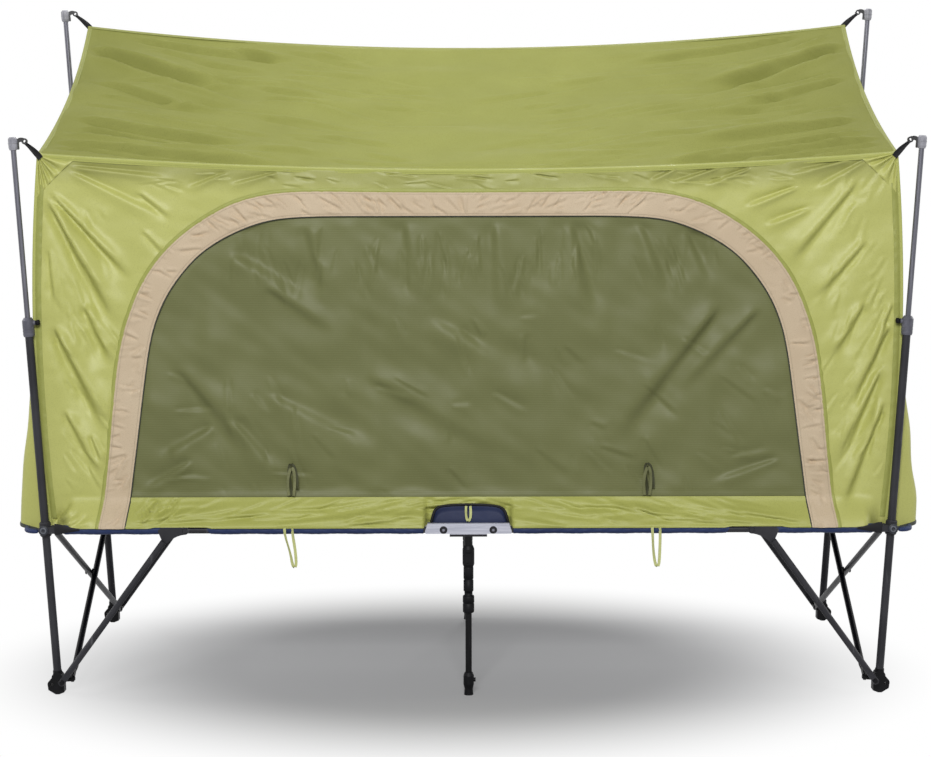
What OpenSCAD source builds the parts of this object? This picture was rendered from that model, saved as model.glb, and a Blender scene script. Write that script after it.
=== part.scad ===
// One-person tent cot: a folding steel cot frame, four telescopic corner poles and a fabric tent.
// Units are millimetres. +X runs along the bed, -Y is the door side, +Z is up; the origin is on the floor.

/* [Overall] */
// Distance between the left and right hub pivots, along the bed
hub_span = 2000; // [1500:10:2600]
// Distance between the front and back posts
post_gap = 760; // [620:5:950]
// Height of the rail pivots above the floor
bed_height = 397; // [310:1:480]
// Outward lean of the corner posts
lean = 3.4; // [0:0.1:6]
// Post gap left when the frame is folded
folded_gap = 260; // [180:5:300]

/* [Posts and poles] */
// Outer radius of a post tube
post_r = 9.5; // [8:0.5:12]
// Wall of the post and leg tubes
tube_wall = 1.5; // [1:0.1:2]
// Height of the foot pivot above the floor
foot_pivot_height = 34; // [28:1:44]
// Room left between the folded hub and the lock collar
collar_room = 2.2; // [1:0.1:10]
// Outer radius of a telescopic pole
pole_r = 6.25; // [4.5:0.25:7]
// Height of the front pole tops above the floor
front_pole_height = 1302; // [1150:5:1500]
// Height of the back pole tops above the floor
back_pole_height = 1650; // [1500:5:1900]
// Length of pole that stays inside its post
pole_engagement = 110; // [60:5:140]
// Outer radius of the lock collar
collar_r = 13.5; // [12.5:0.5:16]
// Length of the lock collar over the post, and above it
collar_length = [25, 20]; // [15:1:30]
// Outer radius of the pole cap
cap_r = 10.5; // [9:0.5:13]
// Height of the pole cap
cap_height = 30; // [20:1:40]

/* [Hubs and feet] */
// Outer radius of the sliding hub's sleeve
hub_r = 13.5; // [12:0.5:15]
// Half the height of the hub's sleeve
hub_half = 17; // [12:1:20]
// Radius of the pivot boss on the hub's face
boss_r = 11; // [9:0.5:12]
// Radius of every pivot pin
pin_r = 3; // [2:0.25:4]
// Running clearance round a pin
pin_clear = 0.1; // [0.05:0.01:0.1]
// Gap between parts that turn or slide past each other
gap = 0.3; // [0.2:0.05:0.5]
// Radius of the foot's strut lug
lug_r = 7; // [5:0.5:9]

/* [Rails, struts and cross bars] */
// Outer radius of a rail
rail_r = 8; // [6.5:0.25:9]
// Outer radius of a strut
strut_r = 7.5; // [6:0.25:8.5]
// Outer radius of a cross bar
bar_r = 7.5; // [6:0.25:8]
// Thickness of a pressed tube end
pressed_t = 6; // [4:0.5:7]
// Length of the pressed end beyond its pivot and of its run into the round tube
pressed_run = [34, 16]; // [14:1:60]

/* [Centre plates and legs] */
// Distance between the two rivets of a centre plate
rivet_pitch = 117; // [90:1:150]
// Length, height and thickness of a centre plate
plate_size = [204, 24, 3]; // [2:1:240]
// How much higher the centre plates stand above the rails than below
plate_rise = 3; // [0:0.5:6]
// Outer radius of the centre leg's upper tube
leg_r = 9.5; // [8:0.5:12]
// Play between the centre leg's two tubes
leg_play = 0.5; // [0.3:0.1:1]
// Depth of the bottom of the centre leg's collar below the rails
leg_collar_drop = 88; // [80:1:150]

/* [Fabric] */
// Length of the bed fabric
bed_length = 2110; // [1600:5:2760]
// Thickness of the bed and tent panels
fabric_t = 3; // [2:0.5:8]
// Height of the tent's front and back top corners
tent_height = [1276, 1620]; // [1100:2:1900]
// How far the tent's front and back top corners stay inside the poles
corner_inset = [55, 64]; // [40:1:90]
// Width of the door at its bottom edge
door_width = 1730; // [1200:10:2200]
// Height of the door's top edge above the floor
door_top = 1192; // [1000:5:1450]
// Width of the door's binding
binding_w = 58; // [40:1:80]

/* [Hidden] */
SIDES = ["l", "r"];
ROWS = ["f", "b"];
$fn = 48;

steel = [0.25, 0.25, 0.27];
pole_grey = [0.52, 0.52, 0.55];
black = [0.07, 0.07, 0.08];
cap_grey = [0.62, 0.62, 0.64];
silver = [0.72, 0.73, 0.78];
navy = [0.14, 0.16, 0.36];
tent_green = [0.72, 0.73, 0.42];
roof_green = [0.56, 0.58, 0.34];
mesh_olive = [0.44, 0.45, 0.31];
beige = [0.82, 0.73, 0.63];

// A pivot stands this far above the foot pivot along the post, open and folded.
pivot_rise = (bed_height - foot_pivot_height) / cos(lean);
cross_bar = sqrt(post_gap * post_gap + pivot_rise * pivot_rise);
folded_rise = sqrt(cross_bar * cross_bar - folded_gap * folded_gap);
// The strut's lug stands clear of the folded rail.
strut_offset = rail_r + lug_r + 1;
// The strut meets the rail where both close flat against the post in the folded frame.
strut_reach = (folded_rise * folded_rise - pivot_rise * pivot_rise)
    / (2 * (folded_rise - pivot_rise * sin(lean) - strut_offset * cos(lean)));
bar_angle = atan2(pivot_rise, post_gap);
// Post above its foot pivot: the folded hub stops just short of the lock collar.
post_length = folded_rise + hub_half + collar_room + collar_length[0];

// Planes of the moving parts, measured from the post's axis.
rail_y = -(post_r + 2.5 + rail_r);
strut_y = rail_y - rail_r - gap - 0.2 - strut_r;
bar_x = [post_r + 1.5 + bar_r, post_r + 2.5 + 3 * bar_r];
half_press = pressed_t / 2;
pin_head = [pin_r + 3.5, 2.5];
rail_length = hub_span / 2 - rivet_pitch / 2;
plate_press = (plate_size[0] - rivet_pitch) / 2 + 8;
lug_t = 2.2;
rib_w = 2.6;
rib_rise = 0.8;
rib_heights = [1, 8];
collar_top = post_length - pivot_rise + collar_length[1];

leg_inner_r = leg_r - tube_wall - leg_play;
leg_collar_z = bed_height - leg_collar_drop;

// Bed and tent, measured from the floor and the middle.
bed_z = bed_height + rail_r + 0.8;
bed_top = bed_z + fabric_t;
panel_t = fabric_t / 2;
wall_y = post_gap / 2 - hub_r - 1.5;
top_x = hub_span / 2 + (tent_height[0] - bed_height) * tan(lean) - corner_inset[0];
back_x = hub_span / 2 + (tent_height[1] - bed_height) * tan(lean) - corner_inset[1];
end_x = bed_length / 2 - 8;
wall_bottom_x = end_x + panel_t;
seam = 0.4;

function row_sign(row) = row == "f" ? -1 : 1;
function side_sign(side) = side == "l" ? -1 : 1;
// Points of a curve from a to b that leans on the control point c.
function bend(a, c, b, steps) =
    [for (i = [0:steps]) let (t = i / steps) (1-t)*(1-t)*a + 2*t*(1-t)*c + t*t*b];

// Places a child at a hub pivot: x runs to the middle of the bed, y across it, z up.
module at_pivot(side, row) {
    translate([side_sign(side) * hub_span / 2, row_sign(row) * post_gap / 2, bed_height])
        mirror([side == "r" ? 1 : 0, 0, 0]) mirror([0, row == "b" ? 1 : 0, 0]) children();
}

// The same place, with z along the leaning post.
module at_post(side, row) { at_pivot(side, row) rotate([0, -lean, 0]) children(); }

module along_x() { rotate([0, 90, 0]) children(); }
module along_y() { rotate([90, 0, 0]) children(); }

// A round bar along +z from its first pivot to its second, with both ends pressed flat
// across x and pierced for their pins.
module pressed_bar(length, r, first_run, last_run) {
    tail = r + 1;
    difference() {
        intersection() {
            translate([0, 0, -tail]) cylinder(r = r, h = length + 2 * tail);
            rotate([90, 0, 0]) linear_extrude(2 * r, center = true) polygon([
                [-half_press, -tail], [half_press, -tail], [half_press, first_run[0]],
                [r, first_run[0] + first_run[1]], [r, length - last_run[0] - last_run[1]],
                [half_press, length - last_run[0]], [half_press, length + tail],
                [-half_press, length + tail], [-half_press, length - last_run[0]],
                [-r, length - last_run[0] - last_run[1]], [-r, first_run[0] + first_run[1]],
                [-half_press, first_run[0]]]);
            along_x() linear_extrude(2 * r, center = true) union() {
                circle(r = tail);
                translate([-length, 0]) circle(r = tail);
                translate([-length, -tail]) square([length, 2 * tail]);
            }
        }
        for (z = [0, length])
            translate([-r, 0, z]) along_x() cylinder(r = pin_r + pin_clear, h = 2 * r);
    }
}

// A pivot boss from the axis out to face, with a pin through a pressed end and a round head.
// It stands along +x.
module boss_and_pin(start, face, r) {
    pin_end = face + pressed_t + 2 * gap;
    along_x() {
        translate([0, 0, start]) cylinder(r = r, h = face - start);
        translate([0, 0, start]) cylinder(r = pin_r, h = pin_end - start);
        translate([0, 0, pin_end]) cylinder(r1 = pin_head[0], r2 = pin_head[0] - 2, h = pin_head[1]);
    }
}

// Corner post: a round tube from the foot to the lock collar.
module post(side, row) {
    color(steel) at_post(side, row) translate([0, 0, -pivot_rise - 12]) difference() {
        cylinder(r = post_r, h = post_length + 12);
        translate([0, 0, -1]) cylinder(r = post_r - tube_wall, h = post_length + 14);
    }
}

// Moulded foot: a socket for the post, a wedge that stands on the floor, and two pivot bosses.
module foot(side, row) {
    plane = row == "f" ? bar_x[1] : bar_x[0];
    front = post_r + 2;
    color(black) difference() {
        at_post(side, row) translate([0, 0, -pivot_rise]) difference() {
            union() {
                along_y() translate([0, 0, -14]) linear_extrude(14 + front) foot_outline();
                translate([0, 0, 6]) cylinder(r1 = front, r2 = post_r + 1.2, h = 16);
                boss_and_pin(post_r, plane - half_press - gap, pin_r + 4);
                translate([strut_offset, 0, 0]) rotate([0, 0, -90])
                    boss_and_pin(front - lug_t, -strut_y - half_press - gap, lug_r);
                translate([post_r, -front, -lug_r]) cube([strut_offset - post_r, lug_t, 2 * lug_r]);
            }
            translate([0, 0, -12.2]) cylinder(r = post_r + pin_clear, h = 60);
            translate([-15, 0, -10]) along_y() cylinder(r = 3.5, h = 60, center = true);
        }
        translate([-hub_span, -post_gap, -100]) cube([2 * hub_span, 2 * post_gap, 100]);
    }
}

// Side view of the foot about its pivot: two lobes above a wedge.
module foot_outline() {
    depth = foot_pivot_height / cos(lean);
    side = post_r + 5.5;
    translate([-side + 1, -9]) circle(r = 10);
    translate([side - 10, -8]) circle(r = 10);
    translate([0, 6]) circle(r = side - 2);
    polygon([[-side - 9, -9], [2 - side, 6], [side - 2, 6], [side, -8], [side - 1, 4 - depth],
        [2, -depth], [-6, -depth], [-side - 8, 12 - depth]]);
}

// Lock collar at the top of a post, with a bush for the pole and a boss for the knob.
module collar(side, row) {
    low = post_length - pivot_rise - collar_length[0];
    seat = post_length - pivot_rise;
    color(black) at_post(side, row) difference() {
        union() {
            translate([0, 0, low]) cylinder(r1 = collar_r - 1.5, r2 = collar_r, h = 5);
            translate([0, 0, low + 5]) cylinder(r = collar_r, h = collar_top - low - 12);
            translate([0, 0, collar_top - 7]) cylinder(r1 = collar_r, r2 = pole_r + 3, h = 7);
            translate([0, 0, seat + 7]) along_x() cylinder(r = 6, h = collar_r + 4);
        }
        translate([0, 0, low - 1]) cylinder(r = post_r + pin_clear, h = seat - low + 1);
        translate([0, 0, low]) cylinder(r = pole_r + gap, h = collar_top - low + 1);
        translate([0, 0, seat + 7]) along_x() cylinder(r = 2.8, h = collar_r + 5);
        for (z = [low + 9, low + 16]) translate([0, 0, z]) difference() {
            cylinder(r = collar_r + 1, h = 2);
            translate([0, 0, -1]) cylinder(r = collar_r - 0.8, h = 4);
        }
    }
}

// Sprung pull knob on the lock collar.
module knob(side, row) {
    color(black) at_post(side, row) translate([0, 0, post_length - pivot_rise + 7]) along_x() {
        translate([0, 0, pole_r + gap + 0.2]) cylinder(r = 2.5, h = collar_r + 5 - pole_r);
        translate([0, 0, collar_r + 4 + gap]) difference() {
            union() {
                cylinder(r1 = 4.5, r2 = 6.5, h = 3);
                translate([0, 0, 3]) cylinder(r = 6.5, h = 5);
                translate([0, 0, 8]) cylinder(r1 = 6.5, r2 = 4.5, h = 2);
            }
            for (turn = [0:45:315]) rotate([0, 0, turn])
                translate([7, 0, -1]) cylinder(r = 1.2, h = 12);
        }
    }
}

function pole_top(row) =
    ((row == "f" ? front_pole_height : back_pole_height) - bed_height) / cos(lean);

// Telescopic pole: a thin tube that slides in its post.
module pole(side, row) {
    low = post_length - pivot_rise - pole_engagement;
    color(pole_grey) at_post(side, row) translate([0, 0, low]) difference() {
        cylinder(r = pole_r, h = pole_top(row) - low);
        translate([0, 0, -1]) cylinder(r = pole_r - 1, h = pole_top(row) - low + 2);
    }
}

// Barrel cap on the pole top, with a hook that reaches in and ends in an eye for the strap.
module cap(side, row) {
    low = cap_height / 2;
    color(cap_grey) at_post(side, row) translate([0, 0, pole_top(row)]) {
        difference() {
            union() {
                translate([0, 0, -low]) cylinder(r1 = cap_r - 2, r2 = cap_r, h = 6);
                translate([0, 0, 6 - low]) cylinder(r = cap_r, h = cap_height - 10);
                translate([0, 0, low - 4]) cylinder(r1 = cap_r, r2 = cap_r - 3, h = 4);
                translate([0, 0, low - 14]) rotate_extrude() translate([cap_r - 0.6, 0]) circle(r = 1.4);
            }
            translate([0, 0, -low - 1]) cylinder(r = pole_r + pin_clear, h = low + 1.2);
        }
        along_y() linear_extrude(5, center = true) hook_outline();
    }
}

// Side view of the hook: a spine down the cap, an arm and an eye.
module hook_outline() {
    difference() {
        union() {
            translate([cap_r - 1.5, -12]) square([5, 18]);
            translate([cap_r + 1, -12]) circle(r = 2.5);
            polygon(concat([[cap_r - 1.5, 2], [cap_r - 1.5, 9]],
                bend([cap_r + 3, 12], [cap_r + 12, 15], [cap_r + 20, 9], 6),
                bend([cap_r + 16, 0], [cap_r + 8, 6], [cap_r + 3, 1], 5)));
            translate([cap_r + 17, 4]) circle(r = 7);
        }
        translate([cap_r + 17, 4]) circle(r = 3);
    }
}

// Sliding hub: a sleeve round the post with a round boss for the rail and one for the cross bar.
module hub(side, row) {
    plane = row == "f" ? bar_x[0] : bar_x[1];
    color(steel) at_post(side, row) difference() {
        union() {
            translate([0, 0, -hub_half]) cylinder(r = hub_r, h = 2 * hub_half);
            rotate([0, 0, -90]) boss_and_pin(post_r, -rail_y - half_press - gap, boss_r);
            boss_and_pin(post_r, plane - half_press - gap, pin_r + 4);
        }
        translate([0, 0, -hub_half - 1]) cylinder(r = post_r + gap, h = 2 * hub_half + 2);
        for (end = [-1, 1]) translate([0, 0, end * hub_half]) rotate_extrude()
            translate([hub_r + 1, 0]) circle(r = 2.5);
    }
}

// Side rail from the hub to the centre plate.
module rail(side, row) {
    color(steel) at_pivot(side, row) translate([0, rail_y, 0]) rotate([0, 90, 0])
        rotate([0, 0, 90]) pressed_bar(rail_length, rail_r, pressed_run, [plate_press, 16]);
}

// Strut from the foot to the rail, ending in a curved gusset plate.
module strut(side, row) {
    foot_end = [pivot_rise * sin(lean) + strut_offset * cos(lean),
        -pivot_rise * cos(lean) + strut_offset * sin(lean)];
    rail_end = [strut_reach, 0];
    tube_end = rail_end + [-50, -25];
    run = tube_end - foot_end;
    length = norm(run);
    angle = atan2(run[0], run[1]);
    plate_y = rail_y - rail_r - gap - 0.1;
    color(steel) at_pivot(side, row) difference() {
        union() {
            translate([foot_end[0], strut_y, foot_end[1]]) rotate([0, angle, 0]) rotate([0, 0, 90])
                strut_tube(length);
            translate([rail_end[0], plate_y, rail_end[1]]) along_y()
                linear_extrude(2.6) gusset_outline(run / length);
            translate([rail_end[0], plate_y - 2.4, rail_end[1]]) along_y()
                cylinder(r1 = 7, r2 = 5, h = 3);
        }
    }
}

// Round strut tube along +z with a pressed and pierced lower end.
module strut_tube(length) {
    tail = strut_r + 1;
    difference() {
        intersection() {
            translate([0, 0, -tail]) cylinder(r = strut_r, h = length + tail);
            rotate([90, 0, 0]) linear_extrude(2 * strut_r, center = true) polygon([
                [-half_press, -tail], [half_press, -tail], [half_press, 24], [strut_r, 40],
                [strut_r, length], [-strut_r, length], [-strut_r, 40], [-half_press, 24]]);
            along_x() linear_extrude(2 * strut_r, center = true) union() {
                circle(r = tail);
                translate([-length, -tail]) square([length, 2 * tail]);
            }
        }
        translate([-strut_r, 0, 0]) along_x() cylinder(r = pin_r + pin_clear, h = 2 * strut_r);
    }
}

// Gusset about the rail pivot: it runs on from the tube, curves over and meets the rail.
module gusset_outline(along) {
    across = [along[1], -along[0]];
    tube_end = [-50, -25];
    low = tube_end - 26 * along;
    translate([0, 0]) circle(r = 9);
    polygon(concat([[0, 9], [-56, 8], [-64, 0]],
        [tube_end - 7 * across, low - 6 * across, low + 6 * across],
        bend(tube_end - 6 * along + 7.5 * across, [-24, -10], [2, -9], 8)));
}

// Scissor bar of one end: the outer one runs from the front hub down to the back foot.
module bar_outer(side) {
    color(steel) at_post(side, "f") translate([bar_x[0], 0, 0]) rotate([-90 - bar_angle, 0, 0])
        difference() {
            pressed_bar(cross_bar, bar_r, pressed_run, pressed_run);
            translate([-bar_r - 1, 0, cross_bar / 2]) along_x()
                cylinder(r = pin_r + pin_clear, h = 2 * bar_r + 2);
        }
}

// The inner one runs from the front foot up to the back hub, and carries the middle rivet.
module bar_inner(side) {
    reach = bar_x[1] - bar_x[0];
    color(black) at_post(side, "f") translate([bar_x[1], 0, -pivot_rise])
        rotate([-90 + bar_angle, 0, 0]) {
            pressed_bar(cross_bar, bar_r, pressed_run, pressed_run);
            translate([0, 0, cross_bar / 2]) rotate([0, -90, 0]) {
                cylinder(r = pin_r, h = reach + bar_r + gap + 1);
                cylinder(r = 8, h = bar_r + 0.7);
                translate([0, 0, reach + bar_r + gap]) cylinder(r1 = 6.5, r2 = 4.5, h = 2.5);
            }
        }
}

module at_middle(row) {
    mirror([0, row == "b" ? 1 : 0, 0])
        translate([0, rail_y - post_gap / 2, bed_height]) children();
}

// Side view of a centre plate: a long bar with slanted upper corners.
module plate_outline() {
    half = plate_size[0] / 2;
    high = plate_size[1] / 2 + plate_rise;
    low = plate_size[1] / 2 - plate_rise;
    slant = plate_size[1] / 4;
    polygon([[slant - half, high], [half - slant, high], [half, slant - low], [half, 2 - low],
        [half - 2, -low], [2 - half, -low], [-half, 2 - low], [-half, slant - low]]);
}

// Outline of one stiffening rib, pressed outwards between the rivets.
module rib_outline(height) {
    reach = rivet_pitch / 2 - 20;
    translate([0, height]) square([2 * reach, rib_w], center = true);
    for (x = [-reach, reach]) translate([x, height]) circle(r = rib_w / 2);
}

// Centre plates: one each side of the rails' pressed ends, joined by two rivets and the saddle.
module plate(row) {
    clear = half_press + gap;
    color(silver) at_middle(row) {
        for (y = [-clear, clear + plate_size[2]])
            translate([0, y, 0]) along_y() linear_extrude(plate_size[2]) plate_outline();
        for (y = [-clear - plate_size[2] + 0.4, clear + plate_size[2] + rib_rise], height = rib_heights)
            translate([0, y, 0]) along_y() linear_extrude(rib_rise + 0.4) rib_outline(height);
        for (x = [-rivet_pitch / 2, rivet_pitch / 2]) translate([x, 0, 0]) along_y() {
            cylinder(r = pin_r, h = 2 * (clear + plate_size[2]), center = true);
            translate([0, 0, clear + plate_size[2]]) cylinder(r1 = 9, r2 = 6.5, h = 2.8);
            translate([0, 0, -clear - plate_size[2] - 2]) cylinder(r1 = 5, r2 = 6.5, h = 2);
        }
        translate([-44, -clear - plate_size[2], -plate_size[1] / 2 - 4])
            cube([88, 2 * (clear + plate_size[2]), 6 + plate_rise]);
    }
}

// Upper tube of the centre leg, under its saddle.
module leg(row) {
    top = bed_height - plate_size[1] / 2 - 4;
    color(steel) at_middle(row) translate([0, 0, leg_collar_z + 6 - bed_height]) difference() {
        cylinder(r = leg_r, h = top - leg_collar_z - 6);
        translate([0, 0, -1]) cylinder(r = leg_r - tube_wall, h = top - leg_collar_z - 9);
    }
}

// Clamp collar at the lower end of the upper leg tube.
module leg_collar(row) {
    color(black) at_middle(row) translate([0, 0, leg_collar_z - bed_height]) difference() {
        union() {
            cylinder(r1 = leg_r + 2, r2 = leg_r + 4.5, h = 6);
            translate([0, 0, 6]) cylinder(r = leg_r + 4.5, h = 36);
            translate([0, 0, 42]) cylinder(r1 = leg_r + 4.5, r2 = leg_r + 1.5, h = 8);
            translate([-7, -leg_r - 8, 12]) cube([14, 12, 22]);
        }
        translate([0, 0, -1]) cylinder(r = leg_inner_r + gap, h = 8);
        translate([0, 0, 6]) cylinder(r = leg_r + pin_clear, h = 60);
    }
}

// Sliding tube of the centre leg.
module leg_slide(row) {
    color(steel) at_middle(row) translate([0, 0, 14 - bed_height]) difference() {
        cylinder(r = leg_inner_r, h = leg_collar_z + 6);
        translate([0, 0, -1]) cylinder(r = leg_inner_r - 1.2, h = leg_collar_z + 8);
    }
}

// Boot of the centre leg: a stepped clamp, a band and a tip.
module leg_boot(row) {
    color(black) at_middle(row) translate([0, 0, -bed_height]) difference() {
        union() {
            cylinder(r1 = leg_inner_r + 3.5, r2 = leg_inner_r + 2.5, h = 14);
            translate([0, 0, 14]) cylinder(r1 = leg_inner_r + 2.5, r2 = leg_inner_r + 5, h = 12);
            translate([0, 0, 26]) cylinder(r = leg_inner_r + 5, h = 20);
            translate([0, 0, 46]) cylinder(r1 = leg_inner_r + 5, r2 = leg_inner_r + 2, h = 8);
            translate([0, 0, 36]) along_x() cylinder(r = 5, h = leg_inner_r + 9);
        }
        translate([0, 0, 13.9]) cylinder(r = leg_inner_r + pin_clear, h = 50);
    }
}

// One half of the bed fabric: it leaves the hubs, the rail ends and the centre plate clear.
module bed(side) {
    half = bed_length / 2;
    edge = post_gap / 2 - rail_y - 1;
    sleeve_end = hub_span / 2 - 72;
    color(navy) mirror([side == "l" ? 1 : 0, 0, 0]) translate([0, 0, bed_z])
        linear_extrude(fabric_t) difference() {
            union() {
                translate([seam / 2, -edge]) square([sleeve_end, 2 * edge]);
                translate([seam / 2, -wall_y - 1]) square([half - seam / 2, 2 * wall_y + 2]);
            }
            for (row = [-1, 1]) translate([0, row * (edge + wall_y + 10) / 2])
                square([plate_size[0] + 12, edge - wall_y - 10 + 2], center = true);
        }
}

// A flat panel through four corners, thick across y or x.
module sheet(corners, thick) {
    hull() for (corner = corners, end = [[0, 0, 0], thick]) translate(corner + end)
        cube(0.2, center = true);
}

// The door's outline, drawn in along its edge by trim.
module door_outline(trim) {
    half = door_width / 2 - trim;
    high = door_top - trim;
    low = bed_top + seam + (trim > 0 ? 1.3 * binding_w : 0);
    shoulder = bed_height + 0.6 * (door_top - bed_height);
    side_half = half - 0.125 * half;
    top_half = 0.6 * half;
    right = concat([[half, low]],
        bend([side_half + 12, shoulder - 60], [side_half - 20, high - 30], [top_half, high - 10], 12),
        [[0.3 * half, high]]);
    polygon(concat(right, [for (i = [len(right) - 1:-1:0]) [-right[i][0], right[i][1]]]));
}

module upright(y, thick) { translate([0, y, 0]) along_y() linear_extrude(thick) children(); }

// Front wall with the door's opening cut out of it.
module tent_front() {
    color(tent_green) upright(-wall_y + panel_t, panel_t) difference() {
        polygon([[-wall_bottom_x, bed_top + seam], [wall_bottom_x, bed_top + seam],
            [top_x, tent_height[0]], [-top_x, tent_height[0]]]);
        door_outline(binding_w / 2);
    }
}

// Panel that closes the door.
module door_panel() {
    color(mesh_olive) upright(-wall_y + panel_t - 0.2, panel_t - 0.4)
        door_outline(binding_w / 2 + seam);
}

// Binding sewn round the door, over the joint of wall and panel.
module door_binding() {
    color(beige) upright(-wall_y - seam, 1.6) difference() {
        door_outline(0);
        door_outline(binding_w);
    }
}

// Back wall, which is the higher one.
module tent_back() {
    color(tent_green) upright(wall_y, panel_t)
        polygon([[-wall_bottom_x, bed_top + seam], [wall_bottom_x, bed_top + seam],
            [back_x, tent_height[1]], [-back_x, tent_height[1]]]);
}

// End wall, from the end of the bed up to the sloping roof edge.
module tent_end(side) {
    y = wall_y - panel_t - seam;
    z = bed_top + seam + 0.1;
    drop = 1 + panel_t;
    color(tent_green) mirror([side == "l" ? 1 : 0, 0, 0]) sheet([[end_x, -y, z], [end_x, y, z],
        [back_x - drop, y, tent_height[1] - drop], [top_x - drop, -y, tent_height[0] - 0.5]],
        [panel_t, 0, 0]);
}

// Sloping roof, resting on the four walls.
module tent_roof() {
    slope = (tent_height[1] - tent_height[0]) / (2 * wall_y - panel_t);
    low = tent_height[0] + seam;
    high = tent_height[1] + seam + slope * panel_t;
    color(roof_green) sheet([[-top_x, -wall_y, low], [top_x, -wall_y, low],
        [back_x, wall_y, high], [-back_x, wall_y, high]], [0, 0, panel_t]);
}

for (row = ROWS, side = SIDES) {
    tag = str(row, side);
    post(side, row);
    foot(side, row);
    collar(side, row);
    knob(side, row);
    pole(side, row);
    cap(side, row);
    hub(side, row);
    rail(side, row);
    strut(side, row);
}
for (side = SIDES) {
    bar_outer(side);
    bar_inner(side);
    bed(side);
    tent_end(side);
}
for (row = ROWS) {
    plate(row);
    leg(row);
    leg_collar(row);
    leg_slide(row);
    leg_boot(row);
}
tent_front();
tent_back();
tent_roof();
door_panel();
door_binding();
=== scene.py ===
import math

import bmesh
import bpy
import numpy as np
from mathutils import Matrix, Vector


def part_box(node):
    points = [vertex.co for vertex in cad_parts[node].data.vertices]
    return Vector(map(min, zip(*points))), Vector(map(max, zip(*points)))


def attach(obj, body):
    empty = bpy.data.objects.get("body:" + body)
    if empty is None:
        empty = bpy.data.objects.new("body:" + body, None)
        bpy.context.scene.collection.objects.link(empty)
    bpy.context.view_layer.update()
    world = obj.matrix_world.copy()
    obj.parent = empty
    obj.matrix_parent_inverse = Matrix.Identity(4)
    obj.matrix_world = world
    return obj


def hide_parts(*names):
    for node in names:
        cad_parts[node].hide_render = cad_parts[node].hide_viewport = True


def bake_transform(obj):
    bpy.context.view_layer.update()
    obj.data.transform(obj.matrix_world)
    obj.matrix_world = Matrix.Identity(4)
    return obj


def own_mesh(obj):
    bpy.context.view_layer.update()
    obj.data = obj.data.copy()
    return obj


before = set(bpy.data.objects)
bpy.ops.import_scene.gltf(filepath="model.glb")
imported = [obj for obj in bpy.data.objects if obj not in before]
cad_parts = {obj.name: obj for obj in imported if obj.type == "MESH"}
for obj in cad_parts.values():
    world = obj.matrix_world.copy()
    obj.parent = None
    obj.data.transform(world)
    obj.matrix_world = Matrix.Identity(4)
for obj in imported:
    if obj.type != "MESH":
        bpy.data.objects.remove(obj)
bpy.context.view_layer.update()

# --- Camera ---
# A long lens a little above eye level when seated, square on to the door side. The tilt and
# turn are what a hand-set tripod has.
camera_data = bpy.data.cameras.new("camera")
camera_data.lens = 77.36
camera_data.clip_end = 60
camera = bpy.data.objects.new("camera", camera_data)
bpy.context.scene.collection.objects.link(camera)
pan, tilt, roll = math.radians(0.065), math.radians(6.028), math.radians(-0.123)
camera.matrix_world = (
    Matrix.Translation((-0.0113, -5.0489, 1.2456))
    @ Matrix.Rotation(-pan, 4, "Z")
    @ Matrix.Rotation(math.pi / 2 - tilt, 4, "X")
    @ Matrix.Rotation(roll, 4, "Z")
)
bpy.context.scene.camera = camera
bpy.context.scene.view_settings.view_transform = "Standard"

# --- Studio ---
# A white sweep lit by a broad front light, a soft overhead one, and softboxes behind and at each
# side. Camera, mirror and glass rays see plain white. Round the cot the floor is a low grey lifted
# by a constant painted glow, an oval of painted shadow on which the real cast shadow also falls;
# away from the cot it fades to plain white.
def soft_light(name, place, aim, size, watts):
    """A rectangular softbox at place, turned towards aim."""
    data = bpy.data.lights.new(name, "AREA")
    data.shape, data.size, data.size_y, data.energy = "RECTANGLE", size[0], size[1], watts
    lamp = bpy.data.objects.new(name, data)
    bpy.context.scene.collection.objects.link(lamp)
    lamp.location = place
    lamp.rotation_euler = (Vector(aim) - Vector(place)).to_track_quat("-Z", "Y").to_euler()


def add_node(tree, kind, *feeds, **values):
    """A shader node. Its first sockets take feeds, each an output, a number or a colour, and
    its other sockets and settings are filled in by name."""
    node = tree.nodes.new(kind)
    for key, value in values.items():
        if hasattr(node, key):
            setattr(node, key, value)
        else:
            node.inputs[key.replace("_", " ")].default_value = value
    for socket, feed in zip(node.inputs, feeds):
        if isinstance(feed, bpy.types.NodeSocket):
            tree.links.new(feed, socket)
        else:
            socket.default_value = feed
    return node


def new_piece(name, shape, paint):
    """An object of a finished bmesh shape, in its paint."""
    data = bpy.data.meshes.new(name)
    shape.to_mesh(data)
    shape.free()
    data.materials.append(paint)
    piece = bpy.data.objects.new(name, data)
    bpy.context.scene.collection.objects.link(piece)
    return piece


def worked(tree, operation, *feeds):
    """The result of a math node on its feeds."""
    return add_node(tree, "ShaderNodeMath", *feeds, operation=operation).outputs[0]


def place_of(tree):
    """Where a point of a piece is, in metres."""
    return add_node(tree, "ShaderNodeTexCoord").outputs["Object"]


def plain_rays(tree):
    """One where a ray is a camera, mirror or glass ray."""
    path = add_node(tree, "ShaderNodeLightPath").outputs
    mirror_or_glass = worked(tree, "MAXIMUM", path["Is Glossy Ray"], path["Is Transmission Ray"])
    return worked(tree, "MAXIMUM", path["Is Camera Ray"], mirror_or_glass)


cot_middle, wide_box = (0, 0, 0.8), (1.8, 1.4)
soft_light("front_softbox", (-0.3, -5.4, 3.5), cot_middle, wide_box, 240)
soft_light("top_softbox", (0.1, 0.5, 3.8), (0, 0, 0), (1.5, 1.2), 28)
soft_light("back_softbox", (0.6, 5.4, 3.2), cot_middle, wide_box, 120)
for name, out in (("left_softbox", -5.4), ("right_softbox", 5.4)):
    soft_light(name, (out, 0.5, 2.8), cot_middle, wide_box, 80)

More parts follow.
